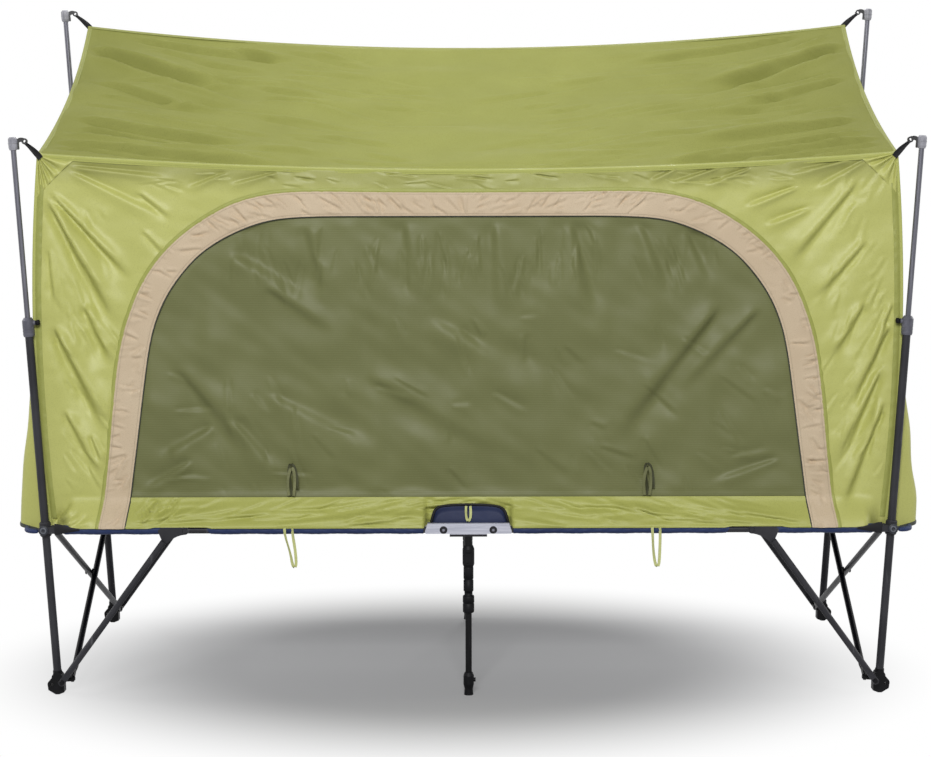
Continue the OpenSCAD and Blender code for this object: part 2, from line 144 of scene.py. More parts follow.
world = bpy.data.worlds.new("studio")
bpy.context.scene.world = world
world.use_nodes = True
sky = world.node_tree
sky.nodes.clear()
white = (1, 1, 1, 1)
ambient = add_node(sky, "ShaderNodeBackground", white, 0.2).outputs[0]
plain = add_node(sky, "ShaderNodeBackground", white, 1.0).outputs[0]
seen_sky = add_node(sky, "ShaderNodeMixShader", plain_rays(sky), ambient, plain).outputs[0]
add_node(sky, "ShaderNodeOutputWorld", seen_sky)

floor_paint = bpy.data.materials.new("floor_paint")
floor_paint.use_nodes = True
sweep = floor_paint.node_tree
sweep.nodes.clear()
# Painted shadow: inside the oval the floor is a low grey (matt) with a constant painted glow (lift) added to
# it.
matt = add_node(sweep, "ShaderNodeBsdfDiffuse", (0.30, 0.30, 0.30, 1)).outputs[0]
lift = add_node(sweep, "ShaderNodeEmission", white, 0.155).outputs[0]
painted_shadow_floor = add_node(sweep, "ShaderNodeAddShader", matt, lift).outputs[0]
bright = add_node(sweep, "ShaderNodeEmission", white, 1.0).outputs[0]
shadow_ends, white_starts = 0.42, 1.0
oval = add_node(
    sweep, "ShaderNodeMapping", place_of(sweep), Location=(0.04, 0.10, 0), Scale=(0.80, 1.0, 1)
)
far = add_node(sweep, "ShaderNodeVectorMath", oval.outputs[0], operation="LENGTH").outputs["Value"]
edge = add_node(
    sweep, "ShaderNodeMapRange", far, shadow_ends, white_starts, interpolation_type="SMOOTHSTEP"
)
seen = worked(sweep, "MULTIPLY", edge.outputs[0], plain_rays(sweep))
fade = add_node(sweep, "ShaderNodeMixShader", seen, painted_shadow_floor, bright).outputs[0]
add_node(sweep, "ShaderNodeOutputMaterial", fade)
floor_shape = bmesh.new()
bmesh.ops.create_grid(floor_shape, x_segments=1, y_segments=1, size=30)
new_piece("floor", floor_shape, floor_paint)

# --- Steel frame ---
# Round steel tube, pressed flat at its ends and drilled, then sprayed in a satin powder coat:
# charcoal grey on the posts, sliding hubs, side rails, struts and the outer bar of each
# scissor, and black on the inner bars and the centre legs.
halves = (("l", -1), ("r", 1))
long_sides = (("f", -1), ("b", 1))
corner_sides = [(row + side, front, hand) for row, front in long_sides for side, hand in halves]
corners = [tag for tag, _, _ in corner_sides]


def srgb(red, green, blue):
    """A colour written as 0 to 255 screen values, as the linear values a shader takes."""
    parts = [c / 255 for c in (red, green, blue)]
    return (*[c / 12.92 if c <= 0.04045 else ((c + 0.055) / 1.055) ** 2.4 for c in parts], 1)


def new_paint(name, roughness, metal=0.0, sheen=0.0, specular=0.5):
    """A principled material and its node tree."""
    paint = bpy.data.materials.new(name)
    paint.use_nodes = True
    sockets = paint.node_tree.nodes["Principled BSDF"].inputs
    sockets["Roughness"].default_value = roughness
    sockets["Metallic"].default_value = metal
    sockets["Specular IOR Level"].default_value = specular
    if sheen:
        sockets["Sheen Weight"].default_value = sheen
        sockets["Sheen Roughness"].default_value = 0.4
    return paint, paint.node_tree


def shader_input(tree, name):
    """A socket of a paint's shader."""
    return tree.nodes["Principled BSDF"].inputs[name]


def grain_of(tree, scale, detail=3, stretch=(1, 1, 1), distortion=0.0):
    """Noise from 0 to 1 over the piece's own coordinates, finer along the larger stretch."""
    turn = add_node(tree, "ShaderNodeMapping", place_of(tree), Scale=stretch).outputs[0]
    cloud = add_node(tree, "ShaderNodeTexNoise", turn, Detail=detail, Distortion=distortion)
    cloud.inputs["Scale"].default_value = scale
    return cloud.outputs["Fac"]


def blend_tones(tree, factor, first, second, low=0.0, high=1.0):
    """Goes from the first colour to the second as factor goes from low to high."""
    share = add_node(tree, "ShaderNodeMapRange", factor, low, high).outputs[0]
    mix = add_node(tree, "ShaderNodeMix", share, data_type="RGBA")
    for socket, colour in ((6, first), (7, second)):
        if isinstance(colour, tuple):
            mix.inputs[socket].default_value = colour
        else:
            tree.links.new(colour, mix.inputs[socket])
    return mix.outputs[2]


def tint(tree, *tones):
    """Colours a paint with a blend of tones, given as blend_tones takes them."""
    tree.links.new(blend_tones(tree, *tones), shader_input(tree, "Base Color"))


def roughen(tree, factor, low, high):
    """Lets the roughness wander between two values."""
    wander = add_node(tree, "ShaderNodeMapRange", factor, To_Min=low, To_Max=high).outputs[0]
    tree.links.new(wander, shader_input(tree, "Roughness"))


def raise_by(tree, height, depth, strength=1.0):
    """Bump from a height output, depth metres deep, over the bump that is already there."""
    bump = add_node(tree, "ShaderNodeBump", Strength=strength, Distance=depth)
    tree.links.new(height, bump.inputs["Height"])
    normal = shader_input(tree, "Normal")
    if normal.links:
        tree.links.new(normal.links[0].from_socket, bump.inputs["Normal"])
    tree.links.new(bump.outputs[0], normal)


def powder_coat(name, dark, light, rubbed):
    """Sprayed enamel: a slight cloud in the colour, rubbed streaks and a fine orange peel."""
    paint, tree = new_paint(name, 0.4, specular=0.16)
    cloud = blend_tones(tree, grain_of(tree, 9), dark, light, 0.35, 0.65)
    tint(tree, grain_of(tree, 60, 4, (1, 1, 0.12)), cloud, rubbed, 0.64, 0.8)
    roughen(tree, grain_of(tree, 24), 0.34, 0.5)
    raise_by(tree, grain_of(tree, 900, 2), 0.00008, 0.5)
    return paint


def finish(paint, *names):
    """Gives CAD nodes this paint in place of the plain one they came with."""
    for name in names:
        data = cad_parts[name].data
        data.materials.clear()
        data.materials.append(paint)


frame_coat = powder_coat("frame_coat", srgb(44, 44, 48), srgb(56, 56, 60), srgb(96, 96, 100))
dark_coat = powder_coat("dark_coat", srgb(5, 5, 6), srgb(11, 11, 13), srgb(34, 34, 38))
for part in ("post", "hub", "rail", "strut"):
    finish(frame_coat, *[f"{part}_{tag}" for tag in corners])
finish(frame_coat, "bar_outer_l", "bar_outer_r")
finish(dark_coat, "bar_inner_l", "bar_inner_r", "leg_f", "leg_b", "leg_slide_f", "leg_slide_b")

# --- Telescopic poles ---
# Thin drawn steel tube that slides in each post, brightened and lacquered. Sliding leaves
# fine scratches along it.
pole_lacquer, tree = new_paint("pole_lacquer", 0.36, metal=0.55)
scratches = grain_of(tree, 160, 5, (1, 1, 0.03))
tint(tree, scratches, srgb(80, 80, 88), srgb(112, 112, 121), 0.3, 0.7)
roughen(tree, grain_of(tree, 30), 0.3, 0.46)
raise_by(tree, scratches, 0.00005, 0.4)
finish(pole_lacquer, *[f"pole_{tag}" for tag in corners])

# --- Moulded fittings ---
# Feet, lock knobs, and the collars and boots of the centre legs: black nylon, injection
# moulded with a fine spark texture and greyed where it is handled. The locking collars of the
# posts are the same nylon in a bluish grey.
def moulded_nylon(name, dark, light, cloud, smooth, rough, specular=0.5):
    """Nylon with a slight cloud in its colour and a spark texture, from smooth to rough."""
    paint, tree = new_paint(name, rough, specular=specular)
    tint(tree, grain_of(tree, cloud, 4), dark, light, 0.35, 0.7)
    roughen(tree, grain_of(tree, 70), smooth, rough)
    raise_by(tree, grain_of(tree, 1500, 2), 0.00015, 0.5)
    return paint


moulded_black = moulded_nylon("moulded_black", srgb(6, 6, 8), srgb(17, 17, 20), 40, 0.42, 0.6, 0.15)
collar_grey = moulded_nylon("collar_grey", srgb(70, 70, 80), srgb(98, 98, 110), 50, 0.36, 0.52)
for tag in corners:
    finish(moulded_black, f"foot_{tag}", f"knob_{tag}")
    finish(collar_grey, f"collar_{tag}")
finish(moulded_black, "leg_collar_f", "leg_collar_b", "leg_boot_f", "leg_boot_b")

# --- Pole caps ---
# A grey nylon cap pushed over each pole, with a black hook moulded on its inner side for the
# tent's corner strap. The two colours meet where the hook leaves the barrel.
def cut_of(tree):
    """Where a point lies on the flat cut of its piece, in metres."""
    return add_node(tree, "ShaderNodeUVMap", uv_map="cut").outputs[0]


def coordinate(tree, axis, on_cut=False):
    """One coordinate of the piece in metres, or of its flat cut."""
    where = cut_of(tree) if on_cut else place_of(tree)
    return add_node(tree, "ShaderNodeSeparateXYZ", where).outputs[axis]


for tag in corners:
    low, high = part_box(f"cap_{tag}")
    barrel_edge = abs(low[0] + high[0]) / 2 + 0.0015
    cap_nylon, tree = new_paint(f"cap_nylon_{tag}", 0.42)
    outward = worked(tree, "ABSOLUTE", coordinate(tree, "X"))
    grey = blend_tones(tree, grain_of(tree, 60), srgb(128, 128, 136), srgb(160, 160, 168), 0.3, 0.7)
    tint(tree, outward, srgb(26, 26, 28), grey, barrel_edge - 0.0012, barrel_edge)
    raise_by(tree, grain_of(tree, 1300, 2), 0.00012, 0.5)
    finish(cap_nylon, f"cap_{tag}")

# --- Centre plates ---
# Two pressed plates of bright zinc hold the inner rail ends on blackened rivets, with a
# black rubber stop below them. Rivets and stop are picked out by their place.
bright_zinc, tree = new_paint("bright_zinc", 0.38, metal=0.5)
brushed = grain_of(tree, 240, 4, (0.04, 1, 1))
zinc = blend_tones(tree, brushed, srgb(160, 162, 176), srgb(190, 191, 202), 0.3, 0.7)
rail_low, rail_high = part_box("rail_fr")
rivet_x, rivet_z = rail_low[0] + 0.009, (rail_low[2] + rail_high[2]) / 2
stop_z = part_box("plate_f")[0][2]
face = add_node(tree, "ShaderNodeCombineXYZ", coordinate(tree, "X"), 0, coordinate(tree, "Z"))
from_rivets = []
for _, hand in halves:
    reach = add_node(
        tree, "ShaderNodeVectorMath", face.outputs[0], (hand * rivet_x, 0, rivet_z), operation="DISTANCE"
    )
    from_rivets.append(reach.outputs["Value"])
nearest = worked(tree, "MINIMUM", *from_rivets)
black = srgb(24, 24, 28)
rivet_head = blend_tones(tree, nearest, srgb(120, 120, 132), black, 0.0028, 0.0034)
riveted = blend_tones(tree, nearest, rivet_head, zinc, 0.0088, 0.0094)
tint(tree, coordinate(tree, "Z"), black, riveted, stop_z + 0.0052, stop_z + 0.0056)
roughen(tree, brushed, 0.3, 0.48)
raise_by(tree, brushed, 0.00006, 0.4)
finish(bright_zinc, "plate_f", "plate_b")

# --- Cot bed ---
# One bed of navy polyester canvas, laced tight over the frame and cut away round the four
# posts. Its two halves meet at the fold line, so that each folds with its own rails.
def cut_cloth(name, grid, place, paint, cut, thickness=0.0008, tube=False):
    """A sheet of cloth on a grid of columns and rows. place turns two arrays of shares, across
    and along, into points. cut is its flat size, kept as its UV map in metres."""
    cloth = bmesh.new()
    bmesh.ops.create_grid(cloth, x_segments=grid[0], y_segments=grid[1], size=0.5)
    shares = np.array([vert.co for vert in cloth.verts])[:, :2] + 0.5
    points = np.stack([part + 0 * shares[:, 0] for part in place(shares[:, 0], shares[:, 1])], 1)
    cut_map = cloth.loops.layers.uv.new("cut")
    for vert, point, share in zip(cloth.verts, points, shares):
        vert.co = point
        for loop in vert.link_loops:
            loop[cut_map].uv = share * cut
    if tube:
        bmesh.ops.remove_doubles(cloth, verts=cloth.verts, dist=1e-6)
        bmesh.ops.recalc_face_normals(cloth, faces=cloth.faces)
    for edge in cloth.edges:
        edge.smooth = not edge.is_boundary
    for face in cloth.faces:
        face.smooth = True
    piece = new_piece(name, cloth, paint)
    if thickness:
        wall = piece.modifiers.new("cloth_thickness", "SOLIDIFY")
        wall.thickness, wall.offset = thickness, 0
    return piece


def sew(piece, body, slot, gather=None, **cut):
    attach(piece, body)
    if gather:
        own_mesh(piece)


def ease(share):
    """Zero below 0, one above 1, smooth between."""
    share = np.clip(share, 0, 1)
    return share * share * (3 - 2 * share)


def within(share, rise, fall):
    """One along a span, easing down to zero over rise at its start and fall at its end."""
    return ease(share / rise) * ease((1 - share) / fall)


def arch(share):
    """Zero at both ends and one in the middle."""
    return np.sin(math.pi * share)


def bands(tree, axis, pitch, distortion=0.0, on_cut=False):
    """Waves from 0 to 1 that follow each other along an axis, pitch metres apart."""
    where = cut_of(tree) if on_cut else place_of(tree)
    wave = add_node(tree, "ShaderNodeTexWave", where, bands_direction=axis, Distortion=distortion)
    one_band_a_metre = 0.314
    wave.inputs["Scale"].default_value = one_band_a_metre / pitch
    return wave.outputs["Fac"]


def woven(name, dark, light, roughness, specular=0.3, thread=0.0007, depth=0.00012, sheen=0, crinkle=0.0003):
    """Woven cloth: threads both ways, thread metres apart, over a soft crinkle."""
    paint, tree = new_paint(name, roughness, sheen=sheen, specular=specular)
    dark, light = srgb(*dark), srgb(*light)
    base = blend_tones(tree, grain_of(tree, 7, 4), dark, light, 0.2, 0.8)
    shadow = tuple(0.93 * c for c in dark[:3]) + (1,)
    tint(tree, grain_of(tree, 420, 2), shadow, base, 0.25, 0.5)
    roughen(tree, grain_of(tree, 35), roughness - 0.06, roughness + 0.08)
    threads = [bands(tree, axis, thread, 0.6) for axis in "XZ"]
    raise_by(tree, grain_of(tree, 55, 4, distortion=0.4), crinkle, 0.6)
    raise_by(tree, worked(tree, "MULTIPLY", *threads), depth, 0.5)
    return paint


canvas = {"roughness": 0.55, "thread": 0.0012, "depth": 0.0002, "sheen": 0.05, "crinkle": 0.0004}
navy_canvas = woven("navy_canvas", (26, 40, 78), (35, 51, 92), **canvas)
bed_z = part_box("bed_l")[1][2]
bed_end = abs(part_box("bed_l")[0][0]) - 0.002
bed_side, post_notch = 0.399, 0.350
bed_gather = (0, 1, 0), (0, -bed_side, bed_z), 0.34
for side, hand in halves:
    def bed_place(u, v):
        x = bed_end * u
        half = post_notch + (bed_side - post_notch) * ease((0.934 - x) / 0.008)
        half = half - 0.030 * ease((0.116 - x) / 0.006) - 0.012 * ease((x - 1.02) / 0.04)
        y = (2 * v - 1) * half
        sag = 0.009 * (1 - (y / half) ** 2) * ease(u / 0.1 + 0.3)
        ripple = 0.0012 * np.sin(55 * x + 3 * y) * (1 - (y / half) ** 2) * ease((1 - u) * 12)
        return hand * x, y, bed_z - 0.0006 - sag + ripple

    bed = cut_cloth(f"bed_canvas_{side}", (150, 90), bed_place, navy_canvas, (1.06, 0.82), 0.0012)
    sew(
        bed, f"rail_f{side}", "bed_fabric", bed_gather,
        flat=(1.055, 0.8), area=0.832, rests_on=[f"rail_f{side}", f"rail_b{side}"],
    )
    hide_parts(f"bed_{side}")

# --- Rail sleeves ---
# The bed's long edges are turned back and lock-stitched into sleeves that the rails run
# through. They stop short of each strut bracket and hub, where the steel shows. Between and
# above them, the canvas edge is a thin corded roll.
rail_y = 0.400
rail_z = (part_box("rail_fl")[0][2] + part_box("rail_fl")[1][2]) / 2
sleeve_runs = ((0.106, 0.612, 0.0, 0.012), (0.70, 0.958, 0.012, 0.02))
for tag, front, hand in corner_sides:
    for number, (start, end, slant_in, slant_out) in enumerate(sleeve_runs, 1):
        run = end - start

        def sleeve_place(u, v):
            turn = 2 * math.pi * v
            x = start + run * u + np.sin(turn) * (slant_in * (1 - u) + slant_out * u) * 0.5
            r = 0.0094 + 0.0006 * np.sin(180 * x + 2 * np.sin(turn)) * np.sin(7 * turn)
            r = r + 0.0005 * np.sin(61 * x + turn)
            rise = np.where(np.sin(turn) > 0, 1.28, 0.97)
            return hand * x, front * (rail_y + r * np.cos(turn)), rail_z + r * np.sin(turn) * rise

        sleeve = cut_cloth(
            f"sleeve_{tag}_{number}", (int(run * 260), 26), sleeve_place, navy_canvas,
            (run, 0.06), 0.0007, tube=True,
        )
        sew(sleeve, f"rail_{tag}", "bed_fabric", flat=(run, 0.059), rests_on=[f"rail_{tag}"])

for tag, front, hand in corner_sides:
    def cord_place(u, v):
        turn = 2 * math.pi * v
        y, z = 0.4005 + 0.0036 * np.cos(turn), 0.4074 + 0.0022 * np.sin(turn)
        return hand * (0.119 + 0.811 * u), front * y, z

    edge_cord = cut_cloth(
        f"bed_edge_{tag}", (140, 10), cord_place, navy_canvas, (0.81, 0.018), 0.0006, tube=True
    )
    sew(edge_cord, f"rail_{tag}", "bed_fabric", flat=(0.81, 0.019), rests_on=[f"rail_{tag}"])

# --- Tent front wall ---
# Thin polyester taffeta with a waxy shine, hung from the pole hooks and stretched down to
# the bed. Each half runs round the door; the pull from the corners leaves long folds.
def darken(tree, factor, value, low=0.0, high=1.0):
    """Darkens a paint's colour to value as factor goes from low to high."""
    cloth = shader_input(tree, "Base Color").links[0].from_socket
    darker = add_node(tree, "ShaderNodeHueSaturation", Value=value)
    tree.links.new(cloth, darker.inputs["Color"])
    tint(tree, factor, cloth, darker.outputs[0], low, high)


def shade_across(paint, per_x, per_z, low, high, value):
    """Darkens a cloth to value as per_x times its distance from the middle, plus per_z times its
    height, goes from low to high."""
    tree = paint.node_tree
    raised = worked(tree, "MULTIPLY", coordinate(tree, "Z"), per_z)
    outward = worked(tree, "ABSOLUTE", coordinate(tree, "X"))
    darken(tree, worked(tree, "MULTIPLY_ADD", outward, per_x, raised), value, low, high)


tent_tones = (178, 180, 101), (187, 189, 110)
tent_green = woven("tent_green", *tent_tones, 0.38, 0.4)
eave_shaded_green = woven("eave_shaded_green", *tent_tones, 0.38, 0.4)
# Painted shade: the front wall's copy of the cloth is darkened to 0.73 in a band just under the eave, where
# the roof's edge shades it.
shade_across(eave_shaded_green, per_x=-0.06, per_z=1.0, low=1.150, high=1.195, value=0.73)
wall_y = 0.365
hem_z = bed_z + 0.0006
hem_x = 0.992
corner_front, corner_back = (1.0, 1.2765), (1.009, 1.6205)


def eave_z(x):
    """Height of the front top seam, which hangs between its two corners."""
    return 1.238 + 0.0385 * x * x


def ridge_z(x):
    """Height of the back top seam."""
    return 1.561 + 0.0585 * x * x


def seam_point(rise, corner):
    """A corner seam's distance from the middle and its height, from the hem (0) to the hook (1)."""
    out = hem_x + 0.0993 * rise + (corner[0] - 1.0913) * rise * rise
    return out, hem_z + rise * (corner[1] - hem_z)


def even_line(points, rounds=0):
    """A line with its corners cut off a few times, as points and the distances along it."""
    line = np.array(points, float)
    for _ in range(rounds):
        near, far = 0.75 * line[:-1] + 0.25 * line[1:], 0.25 * line[:-1] + 0.75 * line[1:]
        between = np.stack([near, far], 1).reshape(-1, line.shape[1])
        line = np.concatenate([line[:1], between, line[-1:]])
    run = np.concatenate([[0], np.cumsum(np.linalg.norm(np.diff(line, axis=0), axis=1))])
    return line, run


def walk(line_and_run, distance):
    """Points of a line at distances along it."""
    line, run = line_and_run
    return np.stack([np.interp(distance, run, part) for part in line.T], 1)


def along_line(line_and_run, share):
    """Points at shares of a line's length."""
    return walk(line_and_run, share * line_and_run[1][-1])


def crease_heights(a, b, creases):
    """Height of cloth over creases: each from one point to another, as wide and deep as it
    says, steep on one side and slack on the other, and narrow where it starts."""
    total = np.zeros_like(a)
    for a0, b0, a1, b1, width, depth in creases:
        length = math.hypot(a1 - a0, b1 - b0)
        da, db = (a1 - a0) / length, (b1 - b0) / length
        along = ((a - a0) * da + (b - b0) * db) / length
        off = ((b - b0) * da - (a - a0) * db) / (width * (0.35 + 0.65 * np.clip(along, 0, 1)))
        reach = within(along, 0.15, 0.35)
        total += depth * reach * np.tanh(1.7 * off) * np.exp(-((off / 2.1) ** 2))
    return total


def slack(a, b, seed, wave, depth, stretch=(1, 1), count=9):
    """Gentle uneven slack: a sum of long waves whose directions and phases come from seed."""
    dice = np.random.default_rng(seed)
    total = np.zeros_like(a)
    for _ in range(count):
        angle, phase, size = dice.uniform(0, math.pi), dice.uniform(0, 6.28), dice.uniform(0.6, 1.7)
        push = (a * stretch[0] * math.cos(angle) + b * stretch[1] * math.sin(angle)) / (wave * size)
        total += np.sin(2 * math.pi * push + phase + 0.8 * np.sin(2.1 * push + phase))
    return depth * total / math.sqrt(count)


def scatter_creases(seed, count, box, heading, spread, length, width, depth):
    """Small creases at random places in a box, all lying roughly one way."""
    dice = np.random.default_rng(seed)
    creases = []
    for _ in range(count):
        a, b = dice.uniform(box[0], box[1]), dice.uniform(box[2], box[3])
        turn, run = heading + dice.uniform(-spread, spread), length * dice.uniform(0.5, 1.4)
        deep = depth * dice.uniform(0.5, 1.2) * dice.choice((-1, 1))
        a_end, b_end = a + run * math.cos(turn), b + run * math.sin(turn)
        creases.append((a, b, a_end, b_end, width * dice.uniform(0.6, 1.3), deep))
    return creases


def post_gather(hand, y=-wall_y, out=1.04, keep=0.04):
    """An axis, a point beside the posts on its side and a share, for a fold that would crumple a
    wall up there; sew only uses it to give the piece a mesh of its own.
    """
    return (1, 0, 0), (hand * out, y, 0), keep


front_creases = [
    (-0.975, 1.190, -0.784, 0.982, 0.011, 0.0065),
    (-0.984, 1.178, -0.820, 0.870, 0.019, 0.0085),
    (-0.981, 1.060, -0.968, 0.920, 0.009, 0.0030),
    (-0.905, 0.930, -0.835, 0.780, 0.019, 0.0060),
    (-0.975, 0.880, -0.850, 0.620, 0.022, 0.0080),
    (-0.955, 0.680, -0.866, 0.510, 0.017, 0.0040),
    (-0.892, 0.620, -0.864, 0.550, 0.008, 0.0030),
    (-0.980, 0.412, -0.930, 0.462, 0.008, -0.0040),
    (-0.966, 0.411, -0.910, 0.440, 0.006, -0.0030),
    (-0.938, 0.408, -0.884, 0.434, 0.006, -0.0030),
    (-0.925, 1.250, -0.690, 1.225, 0.009, -0.0035),
    (-0.930, 1.240, -0.700, 1.130, 0.013, -0.0030),
    (-0.770, 1.190, -0.690, 1.125, 0.008, 0.0028),
    (-0.760, 1.100, -0.705, 1.040, 0.008, 0.0030),
    (0.915, 1.215, 0.745, 1.010, 0.017, -0.0055),
    (0.935, 1.075, 0.812, 0.930, 0.014, -0.0050),
    (0.935, 0.930, 0.850, 0.790, 0.017, -0.0055),
    (0.998, 0.930, 0.950, 0.790, 0.010, -0.0035),
    (0.996, 0.880, 0.895, 0.670, 0.017, -0.0060),
    (0.975, 0.770, 0.870, 0.540, 0.019, -0.0070),
    (0.984, 0.700, 0.880, 0.420, 0.018, -0.0055),
    (0.770, 1.200, 0.640, 1.150, 0.008, 0.0040),
    (0.800, 1.150, 0.690, 1.108, 0.009, 0.0040),
    (0.890, 1.262, 0.740, 1.228, 0.008, 0.0035),
    (0.930, 1.262, 0.800, 1.190, 0.009, 0.0030),
    (0.660, 1.243, 0.545, 1.200, 0.007, 0.0032),
    (0.590, 1.246, 0.465, 1.206, 0.007, 0.0030),
    (0.490, 1.244, 0.420, 1.213, 0.007, 0.0026),
    (-0.560, 1.236, -0.660, 1.196, 0.007, 0.0028),
    (-0.440, 1.236, -0.560, 1.205, 0.007, 0.0024),
]
front_creases += scatter_creases(3, 60, (-0.97, -0.83, 0.45, 1.2), -1.05, 0.25, 0.07, 0.006, 0.0012)
front_creases += scatter_creases(4, 60, (0.86, 0.99, 0.55, 1.25), -2.1, 0.25, 0.07, 0.006, 0.0012)
front_creases += scatter_creases(5, 44, (-0.8, 0.8, 1.205, 1.24), -0.15, 0.3, 0.06, 0.004, 0.0010)


def front_heights(x, z):
    """How far the front wall stands out from its plane."""
    return (
        2.3 * crease_heights(x, z, front_creases)
        + slack(x, z, 21, 0.17, 0.0016)
        + slack(x, z, 22, 0.05, 0.0003)
    )


def foot_share(z):
    """One at a wall's hem and zero above the sill, where the foot leaves the wall's plane."""
    return ease((0.474 - z) / 0.064)


def skirt(x, y, z):
    """Draws the foot of the front wall out over the rail, clear of the posts and the plate."""
    away = np.abs(x)
    span = ease((0.976 - away) / 0.045) * ease((away - 0.0985) / 0.006)
    over_bracket = ease((away - 0.600) / 0.02) * ease((0.755 - away) / 0.02)
    low = foot_share(z)
    return x, y - 0.0460 * low * span, z - low * (0.0070 - 0.0030 * over_bracket)


door_outer = even_line(
    [(0, 1.187), (0.215, 1.188), (0.367, 1.191), (0.459, 1.186), (0.540, 1.167), (0.612, 1.130),
     (0.676, 1.084), (0.728, 1.031), (0.769, 0.968), (0.800, 0.890), (0.819, 0.820),
     (0.834, 0.715), (0.849, 0.560), (0.869, hem_z)], 3)
door_inner = even_line(
    [(0, 1.133), (0.215, 1.133), (0.360, 1.133), (0.455, 1.127), (0.524, 1.106), (0.594, 1.071),
     (0.648, 1.028), (0.702, 0.959), (0.733, 0.893), (0.750, 0.828), (0.764, 0.735),
     (0.780, 0.615), (0.797, 0.495), (0.808, hem_z)], 3)
top_edge = [(x, eave_z(x)) for x in np.linspace(0, corner_front[0], 80)]
front_edge = even_line(top_edge + [seam_point(rise, corner_front) for rise in np.linspace(1, 0, 80)[1:]])
for side, hand in halves:
    def wall_place(u, v):
        near = along_line(door_outer, np.interp(u, (0, 0.33, 0.5, 0.68, 1), (0, 0.28, 0.49, 0.69, 1)))
        far = along_line(front_edge, np.interp(u, (0, 0.33, 0.5, 0.68, 1), (0, 0.33, 0.535, 0.74, 1)))
        point = near + (far - near) * v[:, None]
        gap = np.linalg.norm(far - near, axis=1)
        fade = ease(v * gap / 0.012) * ease((1 - v) * gap / 0.014) * ease((point[:, 1] - hem_z) / 0.008)
        x, z = hand * point[:, 0], point[:, 1]
        return skirt(x, -wall_y - fade * front_heights(x, z), z)

    wall = cut_cloth(f"front_wall_{side}", (360, 56), wall_place, eave_shaded_green, (1.6, 0.2))
    sew(
        wall, f"post_f{side}", "tent_fabric", post_gather(hand),
        flat=(1.02, 0.87), area=0.30, rests_on=[f"cap_f{side}"],
    )
    if side == "l":
        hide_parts("tent_front")

# --- Door edging ---
# A beige tape three fingers wide runs round the door, puckered by its two seams. Outside it
# the wall's edge is turned under a narrow facing of its own cloth, and inside it is a coil zip.
def stitched(paint, inset, width, spacing=0.0034):
    """Darkens and sinks two rows of stitches, inset from both long edges of a cut strip."""
    tree = paint.node_tree
    across = coordinate(tree, "Y", on_cut=True)
    rows = [
        worked(tree, "ABSOLUTE", worked(tree, "SUBTRACT", across, line)) for line in (inset, width - inset)
    ]
    near = worked(tree, "MINIMUM", *rows)
    row = add_node(tree, "ShaderNodeMapRange", near, 0.0004, 0.0009, 1, 0).outputs[0]
    beat = worked(tree, "PINGPONG", coordinate(tree, "X", on_cut=True), spacing / 2)
    dash = add_node(tree, "ShaderNodeMapRange", beat, spacing * 0.1, spacing * 0.16).outputs[0]
    darken(tree, worked(tree, "MULTIPLY", row, dash), 0.8)
    raise_by(tree, worked(tree, "SUBTRACT", 1, row), 0.0006, 0.7)
    return paint


def unit(rows):
    """The same rows, each one metre long."""
    return rows / np.linalg.norm(rows, axis=1)[:, None]


def beside(line, other, u, away):
    """Points along a line of the door, moved away from its other line."""
    near = along_line(line, u)
    return near + unit(near - along_line(other, u)) * away[:, None]


facing_green = woven("facing_green", (150, 154, 76), (162, 166, 88), 0.42, 0.35)
tape_width, facing_width = 0.058, 0.0110
tape_cloth = woven(
    "beige_tape", (195, 175, 147), (207, 189, 162), 0.55, 0.3, 0.0009, 0.00015, 0.05, 0.0004
)
beige_tape = stitched(tape_cloth, 0.0045, tape_width)
zip_black, tree = new_paint("zip_black", 0.5)
teeth = bands(tree, "X", 0.0026, on_cut=True)
tint(tree, teeth, srgb(22, 24, 18), srgb(50, 54, 38))
raise_by(tree, teeth, 0.0006, 0.8)

door_length = door_outer[1][-1]
for side, hand, seed, heading in (("l", -1, 11, 0.9), ("r", 1, 12, 0.8)):
    puckers = scatter_creases(
        seed, 110, (0.0, 1.42, 0.004, 0.050), heading, 0.7, 0.046, 0.0046, 0.0046
    )

    def tape_place(u, v):
        near, far = along_line(door_inner, u), along_line(door_outer, u)
        point = near + (far - near) * v[:, None]
        run, across = u * door_length, v * tape_width
        edge = within(v, 0.14, 0.14)
        lift = 0.0014 * edge + edge * crease_heights(run, across, puckers)
        lift = lift + 0.0003 * np.sin(run * 260 + 3 * np.sin(run * 31)) * (1 - edge)
        return skirt(hand * point[:, 0], -wall_y - 0.0022 - lift, point[:, 1])

    def facing_place(u, v):
        point = beside(door_outer, door_inner, u, facing_width * v - 0.0025)
        run = u * door_length
        lift = 0.0022 * arch(np.clip(v, 0.02, 0.98)) ** 0.6 + 0.0003 * np.sin(run * 190)
        return skirt(hand * point[:, 0], -wall_y - 0.0004 - lift, point[:, 1])

    def zip_place(u, v):
        point = beside(door_inner, door_outer, u, 0.0038 * v - 0.001)
        return skirt(hand * point[:, 0], -wall_y - 0.0008 - 0.0012 * arch(v), point[:, 1])

    cuts = [(door_length, width) for width in (tape_width, facing_width, 0.0055)]
    tape = cut_cloth(f"door_tape_{side}", (420, 14), tape_place, beige_tape, cuts[0])
    facing = cut_cloth(f"door_facing_{side}", (300, 6), facing_place, facing_green, cuts[1], 0.0006)
    coil = cut_cloth(f"door_zip_{side}", (300, 4), zip_place, zip_black, cuts[2])
    on_wall = {"rests_on": [f"front_wall_{side}"]}
    post, gather = f"post_f{side}", post_gather(hand)
    sew(tape, post, "binding", gather, flat=(1.44, 0.058), with_pieces=[coil], **on_wall)
    sew(facing, post, "tent_fabric", gather, flat=(1.42, 0.0135), **on_wall)
    sew(coil, post, "binding", gather)
    if side == "l":
        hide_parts("door_binding")

